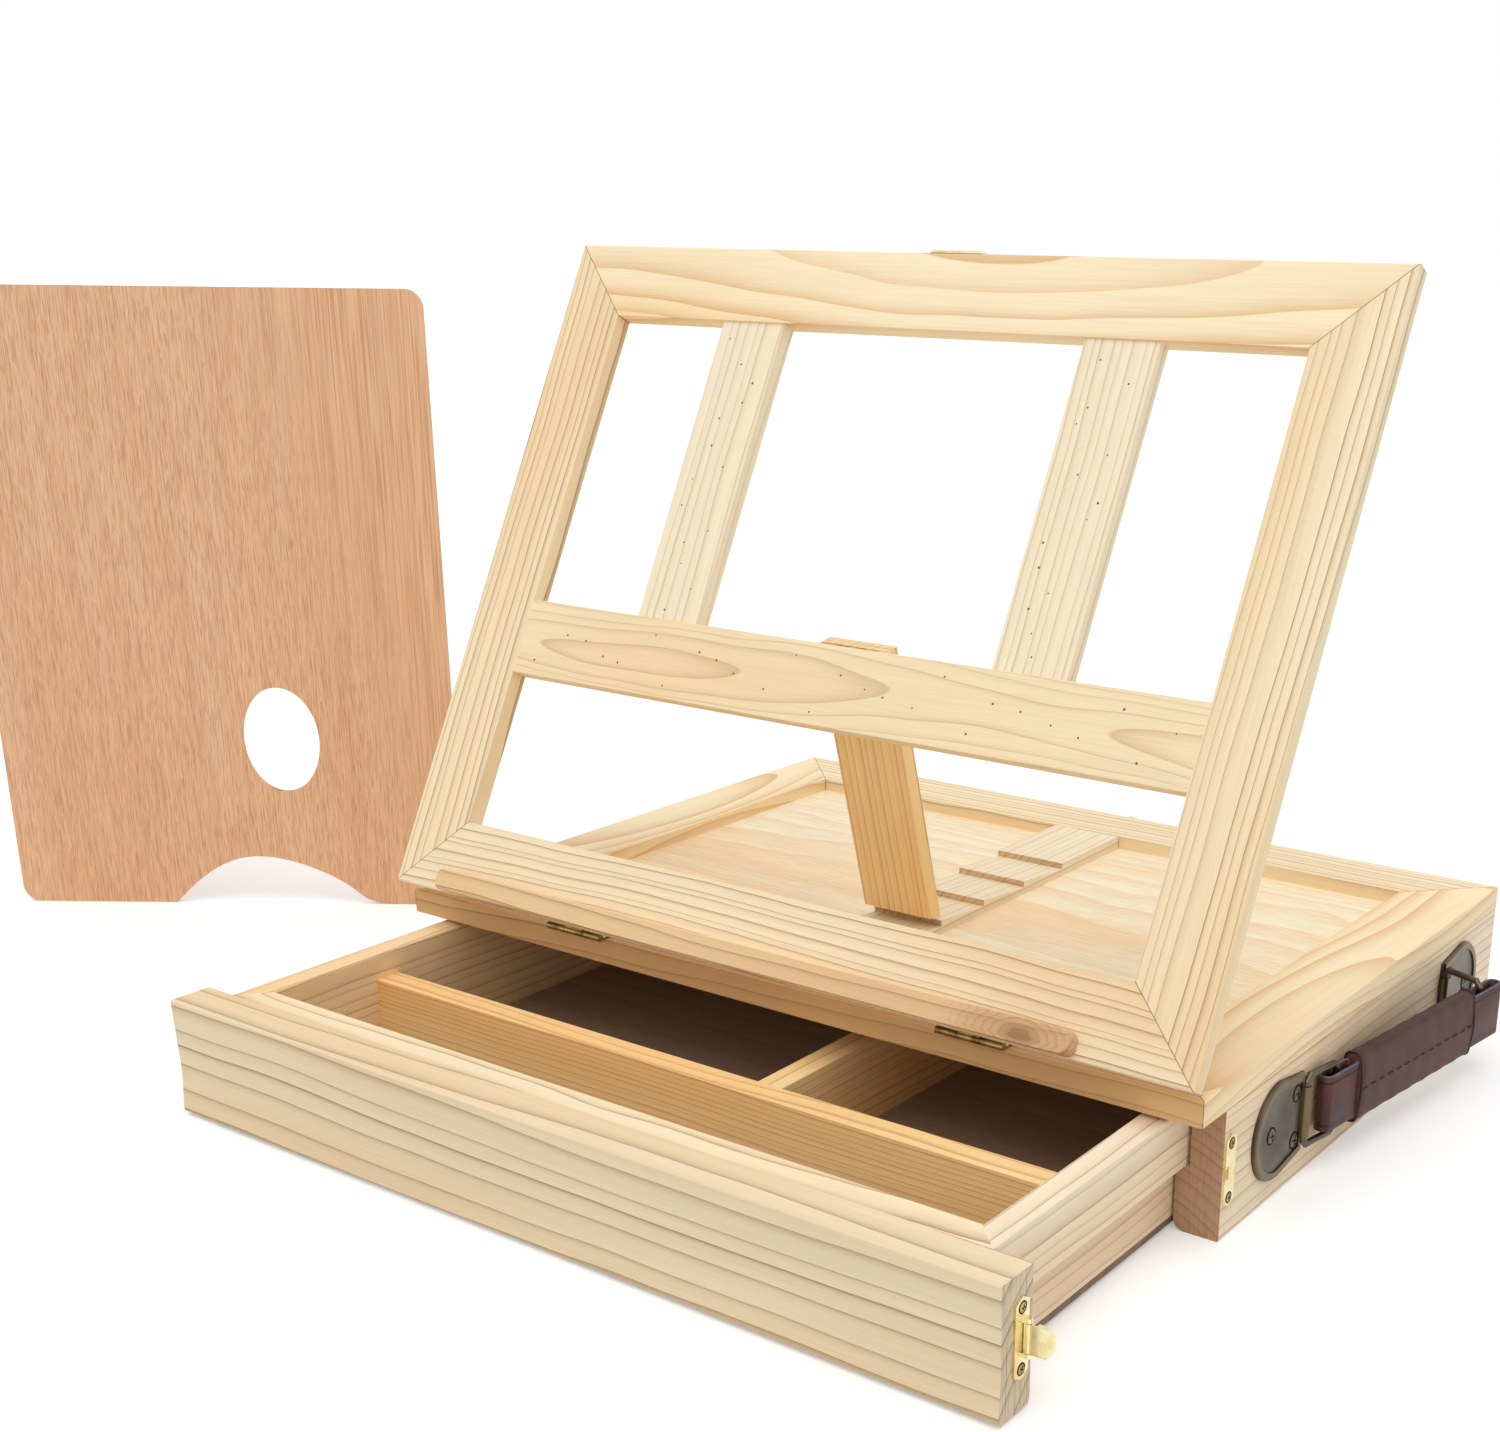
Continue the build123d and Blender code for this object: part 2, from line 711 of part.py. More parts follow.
save(catch_plate(drawer_catch_plane), "drawer_catch_plate")
save(catch_pin(drawer_catch_plane), "drawer_catch_pin")
save(catch_arm(drawer_catch_plane, 90), "drawer_catch_arm")
save(catch_plate(frame_catch_plane), "frame_catch_plate")
save(catch_pin(frame_catch_plane), "frame_catch_pin")
save(catch_arm(frame_catch_plane, frame_arm_lift), "frame_catch_arm")

# The keepers stand where the arms reach with the drawer shut and the frame folded down
hook_reach = catch_arm_length - catch_rim_thickness - hook_gap - hook_thickness / 2
hook_height = catch_axis_height + catch_skin_rise - hook_gap
drawer_hook_y = drawer_catch_y + catch_axis_shift + drawer_opening + hook_reach
drawer_keeper_y = wall_front + keeper_edge_gap + catch_width / 2
drawer_keeper_plane = Plane(
    (half_width, drawer_keeper_y, drawer_catch_height), x_dir=(0, 0, -1), z_dir=(1, 0, 0)
)
save(keeper(drawer_keeper_plane, drawer_hook_y - drawer_keeper_y, hook_height), "drawer_keeper")

folded_overhang = pin_y + frame_head - board_back
folded_hook_z = pin_z + frame_edge_middle - catch_axis_shift - hook_reach
back_keeper_z = wall_height + board_thickness / 2
back_hook_height = folded_overhang + hook_height
back_keeper_plane = Plane(
    (frame_catch_middle, board_back, back_keeper_z), x_dir=(1, 0, 0), z_dir=(0, 1, 0)
)
save(keeper(back_keeper_plane, back_keeper_z - folded_hook_z, back_hook_height), "back_keeper")

# Carrying handle on the right wall: two plates, two rings and a leather strap
handle_ends = {
    "front": Plane((half_width, handle_pivot_front, handle_height), x_dir=(0, -1, 0), z_dir=(1, 0, 0)),
    "rear": Plane((half_width, handle_pivot_rear, handle_height), x_dir=(0, 1, 0), z_dir=(1, 0, 0)),
}
plate_screw_points = [
    (plate_screw_set_in, plate_screw_rise),
    (plate_screw_set_in, -plate_screw_rise),
    (plate_screw_far, 0),
]
plate_round = plate_height / 2


def plate_outline():
    """A straight side at the ring and a round end away from it."""
    with Locations((plate_length - plate_round, 0)):
        Circle(plate_round)
    with Locations((plate_rim / 2, 0)):
        Rectangle(plate_rim, plate_flat_height)
    make_hull()


for name, plane in handle_ends.items():
    with BuildPart() as handle_plate:
        with BuildSketch(plane):
            plate_outline()
        extrude(amount=plate_thickness)
        chamfer(handle_plate.faces().sort_by(Axis.X)[-1].edges(), plate_bevel)
        with BuildSketch(plane.offset(plate_thickness - plate_field_depth)):
            plate_outline()
            offset(amount=-plate_rim, mode=Mode.REPLACE)
        extrude(amount=plate_field_depth, mode=Mode.SUBTRACT)
        knuckle_plane = Plane(
            plane.from_local_coords(Vector(0, 0, ring_axis_height)) - Vector(0, 0, ring_knuckle_length / 2)
        )
        with BuildSketch(knuckle_plane):
            Circle(ring_knuckle_radius)
        extrude(amount=ring_knuckle_length)
        with BuildSketch(knuckle_plane.offset(-plate_height)):
            Circle(ring_wire_radius + pin_clearance)
        extrude(amount=3 * plate_height, mode=Mode.SUBTRACT)
        with Locations(*spots(plane, plate_screw_points, plate_thickness - plate_field_depth)):
            screw_cross()
    save(handle_plate, "handle_plate_" + name)


def ring_direction(end):
    """The way a ring points from its pivot, seen from above."""
    if end == "front":
        return Vector(sin(radians(front_ring_angle)), cos(radians(front_ring_angle)), 0)
    return Vector(sin(radians(rear_ring_angle)), -cos(radians(rear_ring_angle)), 0)


ring_bars = {}
for name, plane in handle_ends.items():
    pivot = plane.from_local_coords(Vector(0, 0, ring_axis_height))
    reach = ring_direction(name)
    ring_bars[name] = pivot + reach * ring_reach
    ring_plane = Plane(pivot, x_dir=reach, z_dir=reach.cross(Vector(0, 0, 1)))
    with BuildPart() as handle_ring:
        with BuildLine(ring_plane) as ring_path:
            Polyline(
                (0, 0),
                (0, ring_height / 2 - ring_corner),
                (ring_corner, ring_height / 2),
                (ring_reach - ring_corner, ring_height / 2),
                (ring_reach, ring_height / 2 - ring_corner),
                (ring_reach, 0),
            )
        with BuildSketch(Plane(pivot, x_dir=reach, z_dir=(0, 0, 1))):
            Circle(ring_wire_radius)
        sweep(path=ring_path.wires()[0], transition=Transition.RIGHT)
        mirror(about=Plane(pivot, x_dir=(1, 0, 0), z_dir=(0, 0, 1)))
    save(handle_ring, "handle_ring_" + name)

# The strap runs between the outer bars of the rings, with a loop round each
strap_run = ring_bars["rear"] - ring_bars["front"]
strap_span = strap_run.length
strap_way = strap_run.normalized()
strap_side = Vector(0, 0, 1).cross(strap_way)
strap_start = -strap_front_tail
strap_end = strap_span + strap_rear_tail
cover_end = strap_span - strap_cover_rear_set_in
with BuildPart() as handle_strap:
    loop_plane = Plane(
        ring_bars["front"] - Vector(0, 0, strap_loop_height / 2), x_dir=strap_way, z_dir=(0, 0, 1)
    )
    with BuildSketch(loop_plane):
        with Locations(((strap_start + strap_end) / 2, 0)):
            SlotOverall(strap_end - strap_start, strap_loop_thickness)
    extrude(amount=strap_loop_height)
    cover_origin = ring_bars["front"] + strap_way * strap_cover_set_in
    with BuildSketch(Plane(cover_origin, x_dir=strap_side, z_dir=strap_way)):
        RectangleRounded(strap_cover_thickness, strap_cover_height, strap_edge_radius)
    extrude(amount=cover_end - strap_cover_set_in)
    front_slot = (strap_start + strap_leather, strap_cover_set_in - 2 * strap_leather)
    rear_slot = (cover_end + strap_leather, strap_end - strap_leather)
    for low, high in (front_slot, rear_slot):
        with BuildSketch(loop_plane):
            with Locations(((low + high) / 2, 0)):
                SlotOverall(high - low, strap_slot_thickness)
        extrude(amount=strap_loop_height, mode=Mode.SUBTRACT)
save(handle_strap, "handle_strap")

# Palette, standing on its lower edge beside the case
turn = radians(palette_turn)
palette_plane = Plane(
    (palette_left_corner[0], palette_left_corner[1], 0),
    x_dir=(cos(turn), sin(turn), 0),
    z_dir=(sin(turn), -cos(turn), 0),
)
with BuildPart() as palette:
    with BuildSketch(palette_plane):
        with BuildLine():
            Line((0, palette_height), (0, 0))
            Line((0, 0), (palette_arch_start, 0))
            Spline(
                (palette_arch_start, 0),
                (palette_arch_peak, palette_arch_height),
                palette_arch_fall,
                (palette_lobe_bottom, 0),
                tangents=((1, 1), (1, 0)),
            )
            Spline((palette_lobe_bottom, 0), (palette_width, palette_lobe_rise), tangents=((1, 0), (0, 1)))
            Line((palette_width, palette_lobe_rise), (palette_width, palette_height))
            Line((palette_width, palette_height), (0, palette_height))
        make_face()
    extrude(amount=-palette_thickness)
    corner_edges = []
    for across, up in ((0, 0), (0, palette_height), (palette_width, palette_height)):
        corner = palette_plane.from_local_coords(Vector(across, up, -palette_thickness / 2))
        corner_edges.append(palette.edges().sort_by_distance(corner)[0])
    fillet(corner_edges, palette_corner_radius)
    with BuildSketch(palette_plane):
        with Locations((palette_thumb_across, palette_thumb_up)):
            Ellipse(*palette_thumb_radii)
    extrude(amount=-palette_thickness, mode=Mode.SUBTRACT)
save(palette, "palette")
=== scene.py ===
import math
import random

import bmesh
import bpy
from mathutils import Matrix, Vector


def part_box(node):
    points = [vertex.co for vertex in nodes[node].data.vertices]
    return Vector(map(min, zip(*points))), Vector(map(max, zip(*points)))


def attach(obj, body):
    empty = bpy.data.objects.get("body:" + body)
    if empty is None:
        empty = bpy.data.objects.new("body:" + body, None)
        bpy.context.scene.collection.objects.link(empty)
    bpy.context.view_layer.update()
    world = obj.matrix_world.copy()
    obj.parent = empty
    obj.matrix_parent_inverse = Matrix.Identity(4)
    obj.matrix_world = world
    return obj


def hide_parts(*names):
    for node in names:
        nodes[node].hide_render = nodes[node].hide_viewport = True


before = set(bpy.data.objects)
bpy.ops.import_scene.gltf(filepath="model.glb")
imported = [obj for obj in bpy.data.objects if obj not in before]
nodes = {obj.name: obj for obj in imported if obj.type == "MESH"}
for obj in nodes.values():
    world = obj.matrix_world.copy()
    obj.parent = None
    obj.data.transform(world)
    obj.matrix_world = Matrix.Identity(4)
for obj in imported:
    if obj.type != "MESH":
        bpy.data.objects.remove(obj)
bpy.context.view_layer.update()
print("loaded the packed model")

# At rest: the turns of the frame, the prop leg and the palette, and the middle of the frame's hinge pins
restPlan = {"frameTilt": 62.5, "legLean": 74.6, "paletteTurn": 34.5, "framePin": (0, -0.1584, 0.06805)}
alongX = Vector((1, 0, 0))
alongY = Vector((0, 1, 0))
upward = Vector((0, 0, 1))
framePin = Vector(restPlan["framePin"])
frameTilt = math.radians(restPlan["frameTilt"])
frameUp = Vector((0, math.cos(frameTilt), math.sin(frameTilt)))
frameOut = Vector((0, -math.sin(frameTilt), math.cos(frameTilt)))
legLean = math.radians(restPlan["legLean"])
legDown = Vector((0, math.cos(legLean), -math.sin(legLean)))
legOut = Vector((0, math.sin(legLean), math.cos(legLean)))
paletteTurn = math.radians(restPlan["paletteTurn"])
paletteOut = Vector((math.sin(paletteTurn), -math.cos(paletteTurn), 0))


def frameSpot(across, up, out):
    return framePin + alongX * across + frameUp * up + frameOut * out


# Colours are written as they look on screen, from 0 to 255
def colour(red, green, blue):
    linear = []
    for value in (red, green, blue):
        share = value / 255
        linear.append(share / 12.92 if share <= 0.04045 else ((share + 0.055) / 1.055) ** 2.4)
    return (*linear, 1.0)


def addNode(tree, kind, inputs=None, **settings):
    made = tree.nodes.new(kind)
    for key, value in settings.items():
        setattr(made, key, value)
    for key, value in (inputs or {}).items():
        if isinstance(value, bpy.types.NodeSocket):
            tree.links.new(value, made.inputs[key])
        else:
            made.inputs[key].default_value = value
    return made


def sums(tree, operation, first, second=0.0, third=0.0, clamp=False):
    inputs = {0: first, 1: second, 2: third}
    return addNode(tree, "ShaderNodeMath", inputs, operation=operation, use_clamp=clamp).outputs[0]


def times(tree, first, second):
    return sums(tree, "MULTIPLY", first, second)


def vectors(tree, operation, first, second=(0, 0, 0)):
    made = addNode(tree, "ShaderNodeVectorMath", {0: first, 1: second}, operation=operation)
    return made.outputs[1 if operation in ("LENGTH", "DOT_PRODUCT") else 0]


def blend(tree, amount, first, second, mode="MIX"):
    inputs = {0: amount, 6: first, 7: second}
    return addNode(tree, "ShaderNodeMix", inputs, data_type="RGBA", blend_type=mode).outputs[2]


def ramp(tree, amount, low, high):
    made = addNode(tree, "ShaderNodeMapRange", {"Value": amount, "From Min": low, "From Max": high})
    made.interpolation_type = "SMOOTHSTEP"
    return made.outputs[0]


def noiseAt(tree, place, scale, detail=2.0, rough=0.5):
    inputs = {"Vector": place, "Scale": scale, "Detail": detail, "Roughness": rough}
    return addNode(tree, "ShaderNodeTexNoise", inputs).outputs[0]


def addBump(tree, shader, height, strength, distance):
    bump = addNode(tree, "ShaderNodeBump", {"Height": height, "Strength": strength, "Distance": distance})
    tree.links.new(bump.outputs[0], shader.inputs["Normal"])


def newMaterial(name):
    made = bpy.data.materials.new(name)
    made.use_nodes = True
    return made, made.node_tree, made.node_tree.nodes["Principled BSDF"]


def dress(nodeName, material):
    for slot in nodes[nodeName].material_slots:
        slot.material = material


# Woods. "sharp" thins a ring's dark line, "softShare" shades the wood before it, "wander" bends it sideways
pineLook = {
    "early": colour(250, 231, 193), "late": colour(148, 100, 58), "blush": colour(245, 213, 165),
    "sharp": 9.0, "softShare": 0.2, "ringStrength": 1.0, "wander": 0.012, "wanderAlong": 2.2,
    "fibre": 0.10, "pores": 0.0, "poreTone": colour(200, 156, 110), "roughness": 0.58,
    "endEarly": colour(220, 192, 158), "endLate": colour(150, 114, 84),
}
woodLooks = {
    "pine": pineLook,
    "wallPine": {
        **pineLook, "early": colour(249, 233, 206), "late": colour(190, 146, 106),
        "blush": colour(242, 214, 178), "endEarly": colour(190, 152, 122), "endLate": colour(150, 108, 82),
    },
    "broadPine": {
        **pineLook, "early": colour(254, 236, 197), "late": colour(220, 165, 104),
        "blush": colour(250, 218, 166), "sharp": 2.6, "softShare": 0.3, "ringStrength": 0.62, "wander": 0.016,
    },
    "calmPine": {
        **pineLook, "early": colour(248, 227, 186), "late": colour(198, 156, 106),
        "sharp": 7.0, "softShare": 0.1, "ringStrength": 0.72, "wander": 0.02,
    },
    "battenPine": {
        **pineLook, "early": colour(248, 233, 203), "late": colour(184, 142, 96),
        "blush": colour(244, 224, 188), "ringStrength": 0.8,
    },
    # Painted shade: the canvas ledge's tones are darker and warmer than the frame's pine, standing for the
    # shade on the ledge
    "ledgePine": {
        **pineLook, "early": colour(238, 205, 156), "late": colour(164, 114, 72),
        "blush": colour(228, 188, 140), "endEarly": colour(226, 184, 144), "endLate": colour(150, 102, 74),
    },
    "sidePine": {
        **pineLook, "early": colour(247, 219, 172), "late": colour(186, 134, 82),
        "blush": colour(238, 198, 142),
    },
    # Painted shade: the drawer face's tones are darker and greyer than the pine's, standing for the shade on
    # the front face
    "facePine": {
        **pineLook, "early": colour(240, 220, 183), "late": colour(140, 100, 60),
        "blush": colour(230, 200, 156), "wander": 0.009,
        "endEarly": colour(226, 206, 174), "endLate": colour(112, 86, 62),
    },
    # Painted shade: the board's front rail is darker, standing for the shade under the frame and the canvas
    # ledge
    "edgePine": {
        **pineLook, "early": colour(232, 191, 135), "late": colour(178, 124, 78),
        "blush": colour(217, 168, 110),
    },
    "warmPine": {
        **pineLook, "early": colour(255, 227, 169), "late": colour(192, 118, 56),
        "blush": colour(255, 209, 143), "ringStrength": 0.8, "wander": 0.008, "wanderAlong": 2.0,
        "fibre": 0.12, "endEarly": colour(246, 216, 166), "endLate": colour(198, 142, 92),
    },
    "plywood": {
        **pineLook, "early": colour(255, 245, 215), "late": colour(246, 208, 159),
        "blush": colour(255, 229, 188), "sharp": 1.6, "softShare": 0.0, "ringStrength": 0.65,
        "wander": 0.05, "wanderAlong": 3.2, "fibre": 0.12, "pores": 0.25, "roughness": 0.6,
    },
    # The drawer bottom's dark brown is partly the board's own tone and partly painted shade inside the drawer
    # under the board
    "drawerPly": {
        **pineLook, "early": colour(174, 146, 122), "late": colour(144, 116, 94),
        "blush": colour(160, 130, 106), "sharp": 1.6, "softShare": 0.0, "ringStrength": 0.4,
        "wander": 0.03, "wanderAlong": 2.5, "fibre": 0.12, "pores": 0.3, "poreTone": colour(118, 92, 70),
        "roughness": 0.7, "endEarly": colour(152, 124, 100), "endLate": colour(122, 96, 74),
    },
    "paletteWood": {  # "lines" is where its dashes turn into long lines, towards one side
        **pineLook, "early": colour(243, 196, 153), "late": colour(230, 171, 127),
        "blush": colour(238, 187, 143), "lines": (0.04, 0.13), "sharp": 1.4, "softShare": 0.0,
        "ringStrength": 0.4, "wander": 0.06, "wanderAlong": 1.6, "fibre": 0.14, "pores": 0.6,
        "poreTone": colour(192, 128, 88), "roughness": 0.55,
        "endEarly": colour(216, 172, 130), "endLate": colour(160, 116, 82),
    },
}
# What all woods share. Scales of three are steps in a metre: along the grain, across it and in depth
grainLook = {
    "bendAcross": 9, "rippleAlong": 7, "rippleAcross": 30, "rippleShare": 0.25, "unevenRate": 0.37,
    "unevenReach": 1.6, "lineEnd": 0.975, "weakestRing": 0.5, "patch": (3, 18, 18),
    "patchRange": (0.4, 0.75), "fibre": (25, 1500, 1500), "streaks": (6, 160, 160), "streakShade": 0.12,
    "endRange": (0.75, 0.95), "sawTurn": 38, "sawScale": (20, 40, 1900), "sawRange": (0.45, 0.75),
    "sawStrength": 0.55, "dashes": (140, 2100, 2100), "dashRange": (0.44, 0.70), "dashJog": 0.06,
    "longLines": (24, 1500, 1500), "longRange": (0.36, 0.86), "linesLean": 0.3,
    "fibreHeight": 0.6, "ringHeight": 0.5, "bump": 0.35, "bumpDepth": 0.00025,
    "glossSpread": 0.2, "specular": 0.3,
}
knotLook = {
    "squeeze": (0.45, 1, 1), "uneven": 0.5, "halo": (2.4, 0.6), "core": (0.7, 0.25),
    "haloTone": colour(196, 152, 108), "haloStrength": 0.6, "swirlStrength": 0.5,
    "coreTone": colour(150, 106, 74), "coreStrength": 0.8,
}
seamLook = {"halfWidth": 0.00018, "fade": (1.6, 0.6), "shade": colour(124, 88, 56), "strength": 0.7}


def woodMaterial(nodeName, lookName, grain, facing, seed, pith, pitch, bow, knots=(), seams=()):
    look = woodLooks[lookName]
    material, tree, shader = newMaterial(lookName + "_" + nodeName)
    place = addNode(tree, "ShaderNodeTexCoord").outputs
    low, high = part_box(nodeName)
    middle = (Vector(low) + Vector(high)) / 2
    turn = Matrix((grain, facing.cross(grain), facing))
    local = addNode(tree, "ShaderNodeMapping", {
        "Vector": place["Object"], "Location": -(turn @ middle), "Rotation": turn.to_euler("XYZ"),
    }).outputs[0]
    away = vectors(tree, "ADD", local, (seed * 1.37, seed * 0.71, seed * 0.53))  # so that no two are alike

    def stretched(scale, detail=2.0, rough=0.5, start=away):
        return noiseAt(tree, vectors(tree, "MULTIPLY", start, scale), 1.0, detail, rough)

    # Distance from the pith, which wanders sideways and rises and falls along the grain
    along, across = look["wanderAlong"], grainLook["bendAcross"]
    bend = stretched((along, across, across), 1.0)
    along, across = along * grainLook["rippleAlong"], grainLook["rippleAcross"]
    ripple = stretched((along, across, across), 1.0)
    rippleSize = look["wander"] * grainLook["rippleShare"]
    shiftSide = times(tree, sums(tree, "SUBTRACT", bend, 0.5), look["wander"] * 2)
    shiftRipple = times(tree, sums(tree, "SUBTRACT", ripple, 0.5), rippleSize)
    split = addNode(tree, "ShaderNodeSeparateXYZ", {0: local}).outputs
    sideways = sums(tree, "SUBTRACT", split[1], pith[0])
    sideways = sums(tree, "ADD", sideways, sums(tree, "ADD", shiftSide, shiftRipple))
    crest, wave, height = bow
    turns = times(tree, sums(tree, "SUBTRACT", split[0], crest), math.tau / wave)
    rise = times(tree, sums(tree, "SUBTRACT", 1.0, sums(tree, "COSINE", turns)), height / 2)
    depth = sums(tree, "ADD", sums(tree, "SUBTRACT", split[2], pith[1]), rise)
    flat = addNode(tree, "ShaderNodeCombineXYZ", {1: sideways, 2: depth}).outputs[0]
    radius = vectors(tree, "LENGTH", flat)

    # Rings: a count from the pith, unevenly spaced, each with a dark line at its end and its own strength
    rings = sums(tree, "DIVIDE", radius, pitch)
    uneven = addNode(tree, "ShaderNodeTexNoise", {
        "W": times(tree, rings, grainLook["unevenRate"]), "Scale": 1.0,
    }, noise_dimensions="1D").outputs[0]
    rings = sums(tree, "ADD", rings, times(tree, uneven, grainLook["unevenReach"]))
    part = sums(tree, "FRACT", rings)
    ending = ramp(tree, part, 1.0, grainLook["lineEnd"])
    line = times(tree, sums(tree, "POWER", part, look["sharp"]), ending)
    soft = times(tree, times(tree, part, part), look["softShare"])
    chance = addNode(tree, "ShaderNodeTexWhiteNoise", {
        "W": sums(tree, "FLOOR", rings),
    }, noise_dimensions="1D").outputs[0]
    weakest = grainLook["weakestRing"]
    strength = sums(tree, "ADD", times(tree, chance, 1 - weakest), weakest)
    band = times(tree, sums(tree, "ADD", line, soft), strength)
    fibre = stretched(grainLook["fibre"], 2.0, 0.6)
    streaks = stretched(grainLook["streaks"], 2.0, 0.6)
    patch = stretched(grainLook["patch"], 1.0)

    tone = blend(tree, ramp(tree, patch, *grainLook["patchRange"]), look["early"], look["blush"])
    onRing = sums(tree, "MULTIPLY", band, look["ringStrength"], clamp=True)
    tone = blend(tree, onRing, tone, look["late"])
    endTone = blend(tree, band, look["endEarly"], look["endLate"])
    for knot in knots:
        size = knot["size"]
        offset = vectors(tree, "SUBTRACT", local, knot["at"])
        reach = vectors(tree, "LENGTH", vectors(tree, "MULTIPLY", offset, knotLook["squeeze"]))
        shift = times(tree, sums(tree, "SUBTRACT", streaks, 0.5), size * knotLook["uneven"])
        reach = sums(tree, "ADD", reach, shift)
        halo = ramp(tree, reach, *(size * share for share in knotLook["halo"]))
        core = ramp(tree, reach, *(size * share for share in knotLook["core"]))
        onHalo = times(tree, halo, knotLook["haloStrength"])
        tone = blend(tree, onHalo, tone, knotLook["haloTone"])
        swirl = sums(tree, "POWER", sums(tree, "FRACT", times(tree, reach, knot["swirls"])), 3.0)
        onSwirl = times(tree, times(tree, swirl, halo), knotLook["swirlStrength"])
        tone = blend(tree, onSwirl, tone, look["late"])
        onCore = times(tree, core, knotLook["coreStrength"])
        tone = blend(tree, onCore, tone, knotLook["coreTone"])

    # End grain, with marks of the saw, where the surface faces along the grain; then the mitre seams
    level = sums(tree, "ABSOLUTE", vectors(tree, "DOT_PRODUCT", place["Normal"], tuple(grain)))
    isEnd = ramp(tree, level, *grainLook["endRange"])
    sawPoint = addNode(tree, "ShaderNodeMapping", {
        "Vector": local, "Rotation": (math.radians(grainLook["sawTurn"]), 0, 0),
        "Scale": grainLook["sawScale"],
    }).outputs[0]
    sawn = ramp(tree, noiseAt(tree, sawPoint, 1.0, 1.0), *grainLook["sawRange"])
    sawn = times(tree, sawn, grainLook["sawStrength"])
    endTone = blend(tree, sawn, endTone, look["endLate"])
    tone = blend(tree, isEnd, tone, endTone)
    for corner, seamAcross in seams:
        level = vectors(tree, "DOT_PRODUCT", place["Object"], seamAcross)
        apart = sums(tree, "ABSOLUTE", sums(tree, "SUBTRACT", level, corner.dot(seamAcross)))
        seam = ramp(tree, apart, *(seamLook["halfWidth"] * share for share in seamLook["fade"]))
        tone = blend(tree, times(tree, seam, seamLook["strength"]), tone, seamLook["shade"])

    # Pores: short dashes, jogged so that they don't stand in rows, or long lines
    if look["pores"]:
        shift = times(tree, fibre, grainLook["dashJog"])
        jogged = vectors(tree, "ADD", away, addNode(tree, "ShaderNodeCombineXYZ", {0: shift}).outputs[0])
        dashes = ramp(tree, stretched(grainLook["dashes"], 0.0, start=jogged), *grainLook["dashRange"])
        if "lines" in look:
            leaning = times(tree, split[0], grainLook["linesLean"])
            leaning = sums(tree, "SUBTRACT", leaning, split[1])
            long = ramp(tree, stretched(grainLook["longLines"], 0.0), *grainLook["longRange"])
            inputs = {0: ramp(tree, leaning, *look["lines"]), 2: dashes, 3: long}
            dashes = addNode(tree, "ShaderNodeMix", inputs).outputs[0]
        tone = blend(tree, times(tree, dashes, look["pores"]), tone, look["poreTone"])
    grey = sums(tree, "MULTIPLY_ADD", fibre, look["fibre"] * 2, 1 - look["fibre"])
    shade = sums(tree, "MULTIPLY_ADD", streaks, grainLook["streakShade"], 1 - grainLook["streakShade"] / 2)
    light = times(tree, grey, shade)
    lightColour = addNode(tree, "ShaderNodeCombineColor", {0: light, 1: light, 2: light}).outputs[0]
    tone = blend(tree, 1.0, tone, lightColour, "MULTIPLY")
    tree.links.new(tone, shader.inputs["Base Color"])
    ringHeight = times(tree, band, grainLook["ringHeight"])
    height = sums(tree, "ADD", times(tree, fibre, grainLook["fibreHeight"]), ringHeight)
    addBump(tree, shader, height, grainLook["bump"], grainLook["bumpDepth"])
    spread = grainLook["glossSpread"]
    gloss = sums(tree, "MULTIPLY_ADD", fibre, spread, look["roughness"] - spread / 2)
    tree.links.new(gloss, shader.inputs["Roughness"])
    shader.inputs["Specular IOR Level"].default_value = grainLook["specular"]
    return material


